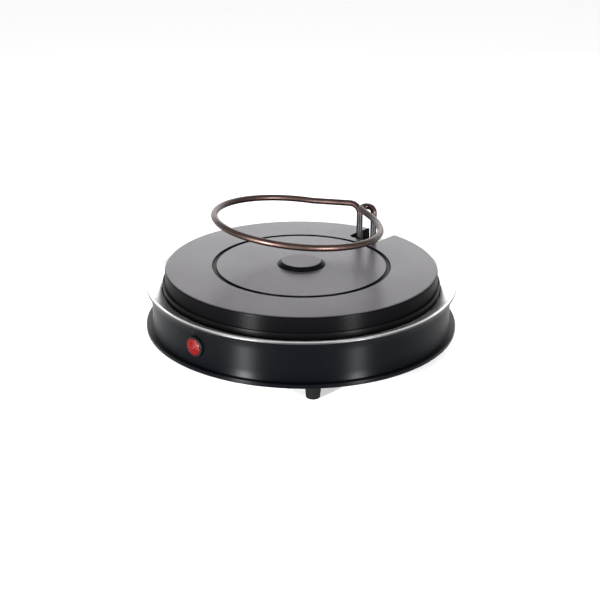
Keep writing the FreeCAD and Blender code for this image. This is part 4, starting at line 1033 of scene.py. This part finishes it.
class HOTPLATE_OT_cord_gland(PieceOperator):
    """Cord gland at the back, with finger notches round its flange"""

    bl_idname = "hotplate.cord_gland"
    bl_label = "Cord gland"

    def make(self, settings):
        inside = GLAND_BOX[0].y / MM - WAIST
        nose = GLAND_BOX[1].y / MM - WAIST
        flange = GLAND_BOX[1].x / MM
        barrel, bore = 8, 4
        outline = profile([
            (bore, inside, 0.3), (barrel, inside, 0.5), (barrel, 0), (flange, 0, 0.2),
            (flange, 2, 0.4), (flange - 1.2, 3.2, 0.4), (bore + 3.4, 3.2, 0.4),
            (bore + 2.6, nose, 0.6), (bore + 1.2, nose, 0.4), (bore, inside + 6),
        ], hold=0.05 * MM)

        def notches(radius, high, angle):
            if radius < (barrel + 0.9) * MM:
                return radius, high
            return radius - 0.4 * MM * max(0.0, math.cos(16 * angle)), high

        mesh = placed(lathe(outline, 192, notches), side_ways(WAIST))
        resin = moulded_black(settings.lamp.resin)
        add_piece("cord_gland_moulded", mesh, resin, "cord_gland")


def cross_screw(seat, tip, shank, head, head_high, recess):
    """A pan-head screw about the upright axis, threaded, with a cross recess. Millimetres."""
    up = 1 if seat > tip else -1
    crown = seat + head_high * up
    thread = []
    turns = int(abs(seat - tip) / 0.7) - 1
    for index in range(turns):
        high = tip + up * (0.5 + 0.7 * index)
        thread += [(shank - 0.28, high), (shank, high + 0.35 * up)]
    corners = [(0, tip), (shank - 0.5, tip)] + thread + [(shank, seat)]
    corners += [(head, seat, 0.15), (head, crown, head_high * 0.75), (0, crown)]
    shape = lathe(profile(corners, hold=0.02 * MM), 40)
    arm, half = recess / 2, recess / 7
    cross = [(arm, half), (half, half), (half, arm), (-half, arm), (-half, half), (-arm, half)]
    cross += [(-x, -y) for x, y in cross]
    outline = [(x * MM, y * MM) for x, y in cross]
    ends = sorted([crown - 0.55 * head_high * up, crown + up])
    return carve(shape, prism(outline, ends[0] * MM, ends[1] * MM))


class HOTPLATE_OT_screws(PieceOperator):
    """Cross-recessed screws of the feet, the cover, the pan, the carrier and the supports"""

    bl_idname = "hotplate.screws"
    bl_label = "Screws"

    def make(self, settings):
        zinc = zinc_plating(settings.fixing.zinc)
        recess = settings.fixing.recess / MM
        large = (1.95, 3.4, 2.2)
        small = (1.45, 2.6, 1.8)
        rows = [
            ("foot_screws", 8, 20.7, large, FEET),
            ("cover_screws", 15, 27, large, PILLARS),
            ("pan_screws", 50, 38, large, PILLARS),
            ("carrier_screws", 49, 54.2, large, CARRIER_FIXINGS),
            ("support_screws", 51.5, 45, small, SUPPORTS),
            ("bracket_screws", 50, 43, large, BRACKET_FIXINGS),
            ("thermostat_screws", 51.5, 41.8, small, THERMOSTAT_FIXINGS),
            ("block_screws", 15, 26, small, BLOCK_FIXINGS),
        ]
        for node, seat, tip, size, places in rows:
            reach = recess if size == large else recess * 0.78
            screw = cross_screw(seat, tip, *size, reach)
            meshes = []
            for index, (x, y) in enumerate(places):
                turn = Matrix.Rotation(math.radians(23 + 57 * index), 4, "Z")
                meshes.append(placed(screw, Matrix.Translation((x * MM, y * MM, 0)) @ turn))
            add_piece(node + "_crossed", joined(meshes), zinc, node, sharp=28)


class HOTPLATE_OT_inner_parts(PieceOperator):
    """Finishes for the frame's own inner parts, which keep their shapes"""

    bl_idname = "hotplate.inner_parts"
    bl_label = "Inner parts"

    def make(self, settings):
        finishes = {
            "zinc_steel": zinc_plating(settings.fixing.zinc),
            "ceramic_bush": steatite(),
            "brass_screw": turned_metal("turned_brass", (0.70, 0.50, 0.20), 0.2),
            "nickel_pin": turned_metal("nickel_rod", (0.66, 0.63, 0.57), 0.2),
            "sensor_case": turned_metal("sensor_cap", (0.55, 0.56, 0.58), 0.26),
            "insulation": fibre_board(),
            "bulb_glass": bulb_glass(),
            "fuse_sleeve": woven_sleeve("fuse_braid", (0.58, 0.55, 0.46), (0.80, 0.78, 0.70)),
            "lead_sleeve": lead_cover("lead_silicone", (0.50, 0.49, 0.46), (0.42, 0.41, 0.39)),
            "earth_lead": lead_cover("earth_green_yellow", (0.05, 0.22, 0.05), (0.72, 0.60, 0.04)),
            "black_plastic": moulded_black(settings.lamp.resin),
        }
        for name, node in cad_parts.items():
            if node.hide_render:
                continue
            for place in node.material_slots:
                slot = place.material.name
                if slot not in finishes:
                    raise RuntimeError("no finish for slot %s of node %s" % (slot, name))
                place.material = finishes[slot]


# ---- studio ----


CAMERA_PLACE = Vector((0.6698, -0.7861, 0.4646))
CAMERA_LOOKS = Vector((-0.5998, 0.7024, -0.3832))
CAMERA_ROLL = 0.387


def aim(thing, place, along, roll=0.0):
    """Puts thing at place, looking along a direction, level but for roll in degrees."""
    along = along.normalized()
    across = along.cross(Vector((0, 0, 1))).normalized()
    upward = across.cross(along)
    angle = math.radians(roll)
    right = across * math.cos(angle) + upward * math.sin(angle)
    top = upward * math.cos(angle) - across * math.sin(angle)
    thing.matrix_world = Matrix.Translation(place) @ Matrix((right, top, -along)).transposed().to_4x4()


def add_light(name, place, target, width, tall, power):
    """A soft rectangular light that looks at target and isn't seen itself."""
    lamp = bpy.data.lights.new(name, "AREA")
    lamp.shape = "RECTANGLE"
    lamp.size = width
    lamp.size_y = tall
    lamp.energy = power
    light = new_object(name, lamp)
    aim(light, place, target - place)
    light.visible_camera = False
    return light


class HOTPLATE_OT_studio(PieceOperator):
    """Pale floor, soft lights and the camera"""

    bl_idname = "hotplate.studio"
    bl_label = "Studio"

    def make(self, settings):
        studio = settings.studio
        scene = bpy.context.scene
        world = bpy.data.worlds.new("studio_air")
        world.use_nodes = True
        backdrop = world.node_tree.nodes["Background"]
        backdrop.inputs["Color"].default_value = (1, 1, 1, 1)
        backdrop.inputs["Strength"].default_value = studio.sky
        scene.world = world
        scene.view_settings.view_transform = "Standard"
        finish = Finish("studio_floor", {GLOSS: 0.1})
        cloud = finish.clouds(3, 3)
        finish.set(finish.tint(cloud, scaled(studio.floor, 0.985), studio.floor), cloud * 0.1 + 0.8)
        floor = new_object("studio_floor", prism(disc(0, 0, 9, 96), -0.02, 0))
        floor.data.materials.append(finish.material)
        facing = Vector((CAMERA_LOOKS.x, CAMERA_LOOKS.y, 0)).normalized()
        middle = Vector((0, 0, 0.06))
        key_away, key_rise, key_wide, key_tall = 1.5, 0.42, 3.2, 0.4
        behind = middle + facing * key_away + Vector((0, 0, key_rise))
        add_light("softbox_behind", behind, middle, key_wide, key_tall, studio.key)
        strip_angle, strip_away, strip_rise, strip_wide, strip_tall = 38, 1.15, 0.19, 0.14, 0.34
        wall_middle = Vector((0, 0, 0.05))
        for name, side, share in (("strip_left", -1, 1.0), ("strip_right", 1, 0.6)):
            away = Matrix.Rotation(math.radians(strip_angle * side), 3, "Z") @ -facing
            place = away * strip_away + Vector((0, 0, strip_rise))
            add_light(name, place, wall_middle, strip_wide, strip_tall, studio.strips * share)
        camera = new_object("camera", bpy.data.cameras.new("camera"))
        camera.data.lens = studio.lens
        camera.data.sensor_width = 36
        camera.data.clip_start = 0.01
        camera.data.clip_end = 50
        aim(camera, CAMERA_PLACE, CAMERA_LOOKS, CAMERA_ROLL)
        scene.camera = camera


# ---- sidebar and registration ----


# The pieces' operators, in the order in which they stand above.
PIECES = tuple(PieceOperator.__subclasses__())

GROUPS = (
    BakingPlateSettings, BaseSettings, ElementSettings, LampSettings, FixingSettings, StudioSettings,
    HotPlateSettings,
)


class HOTPLATE_PT_sidebar(Panel):
    """Lists the hot plate's sizes, colours and pieces"""

    bl_idname = "HOTPLATE_PT_sidebar"
    bl_label = "Baking Hot Plate"
    bl_space_type = "VIEW_3D"
    bl_region_type = "UI"
    bl_category = "Hot Plate"

    def draw(self, context):
        layout = self.layout
        settings = context.scene.hot_plate
        layout.prop(settings, "segments")
        for name in ("plate", "base", "element", "lamp", "fixing", "studio"):
            group = getattr(settings, name)
            box = layout.box()
            box.label(text=name.capitalize())
            for key in group.__annotations__:
                box.prop(group, key)
        for piece in PIECES:
            layout.operator(piece.bl_idname)


def register():
    for group in GROUPS:
        bpy.utils.register_class(group)
    bpy.types.Scene.hot_plate = PointerProperty(type=HotPlateSettings)
    for piece in PIECES:
        bpy.utils.register_class(piece)
    bpy.utils.register_class(HOTPLATE_PT_sidebar)


def unregister():
    bpy.utils.unregister_class(HOTPLATE_PT_sidebar)
    for piece in reversed(PIECES):
        bpy.utils.unregister_class(piece)
    del bpy.types.Scene.hot_plate
    for group in reversed(GROUPS):
        bpy.utils.unregister_class(group)


def main():
    register()
    for piece in PIECES:
        prefix, name = piece.bl_idname.split(".")
        getattr(getattr(bpy.ops, prefix), name)()


if __name__ == "__main__":
    main()
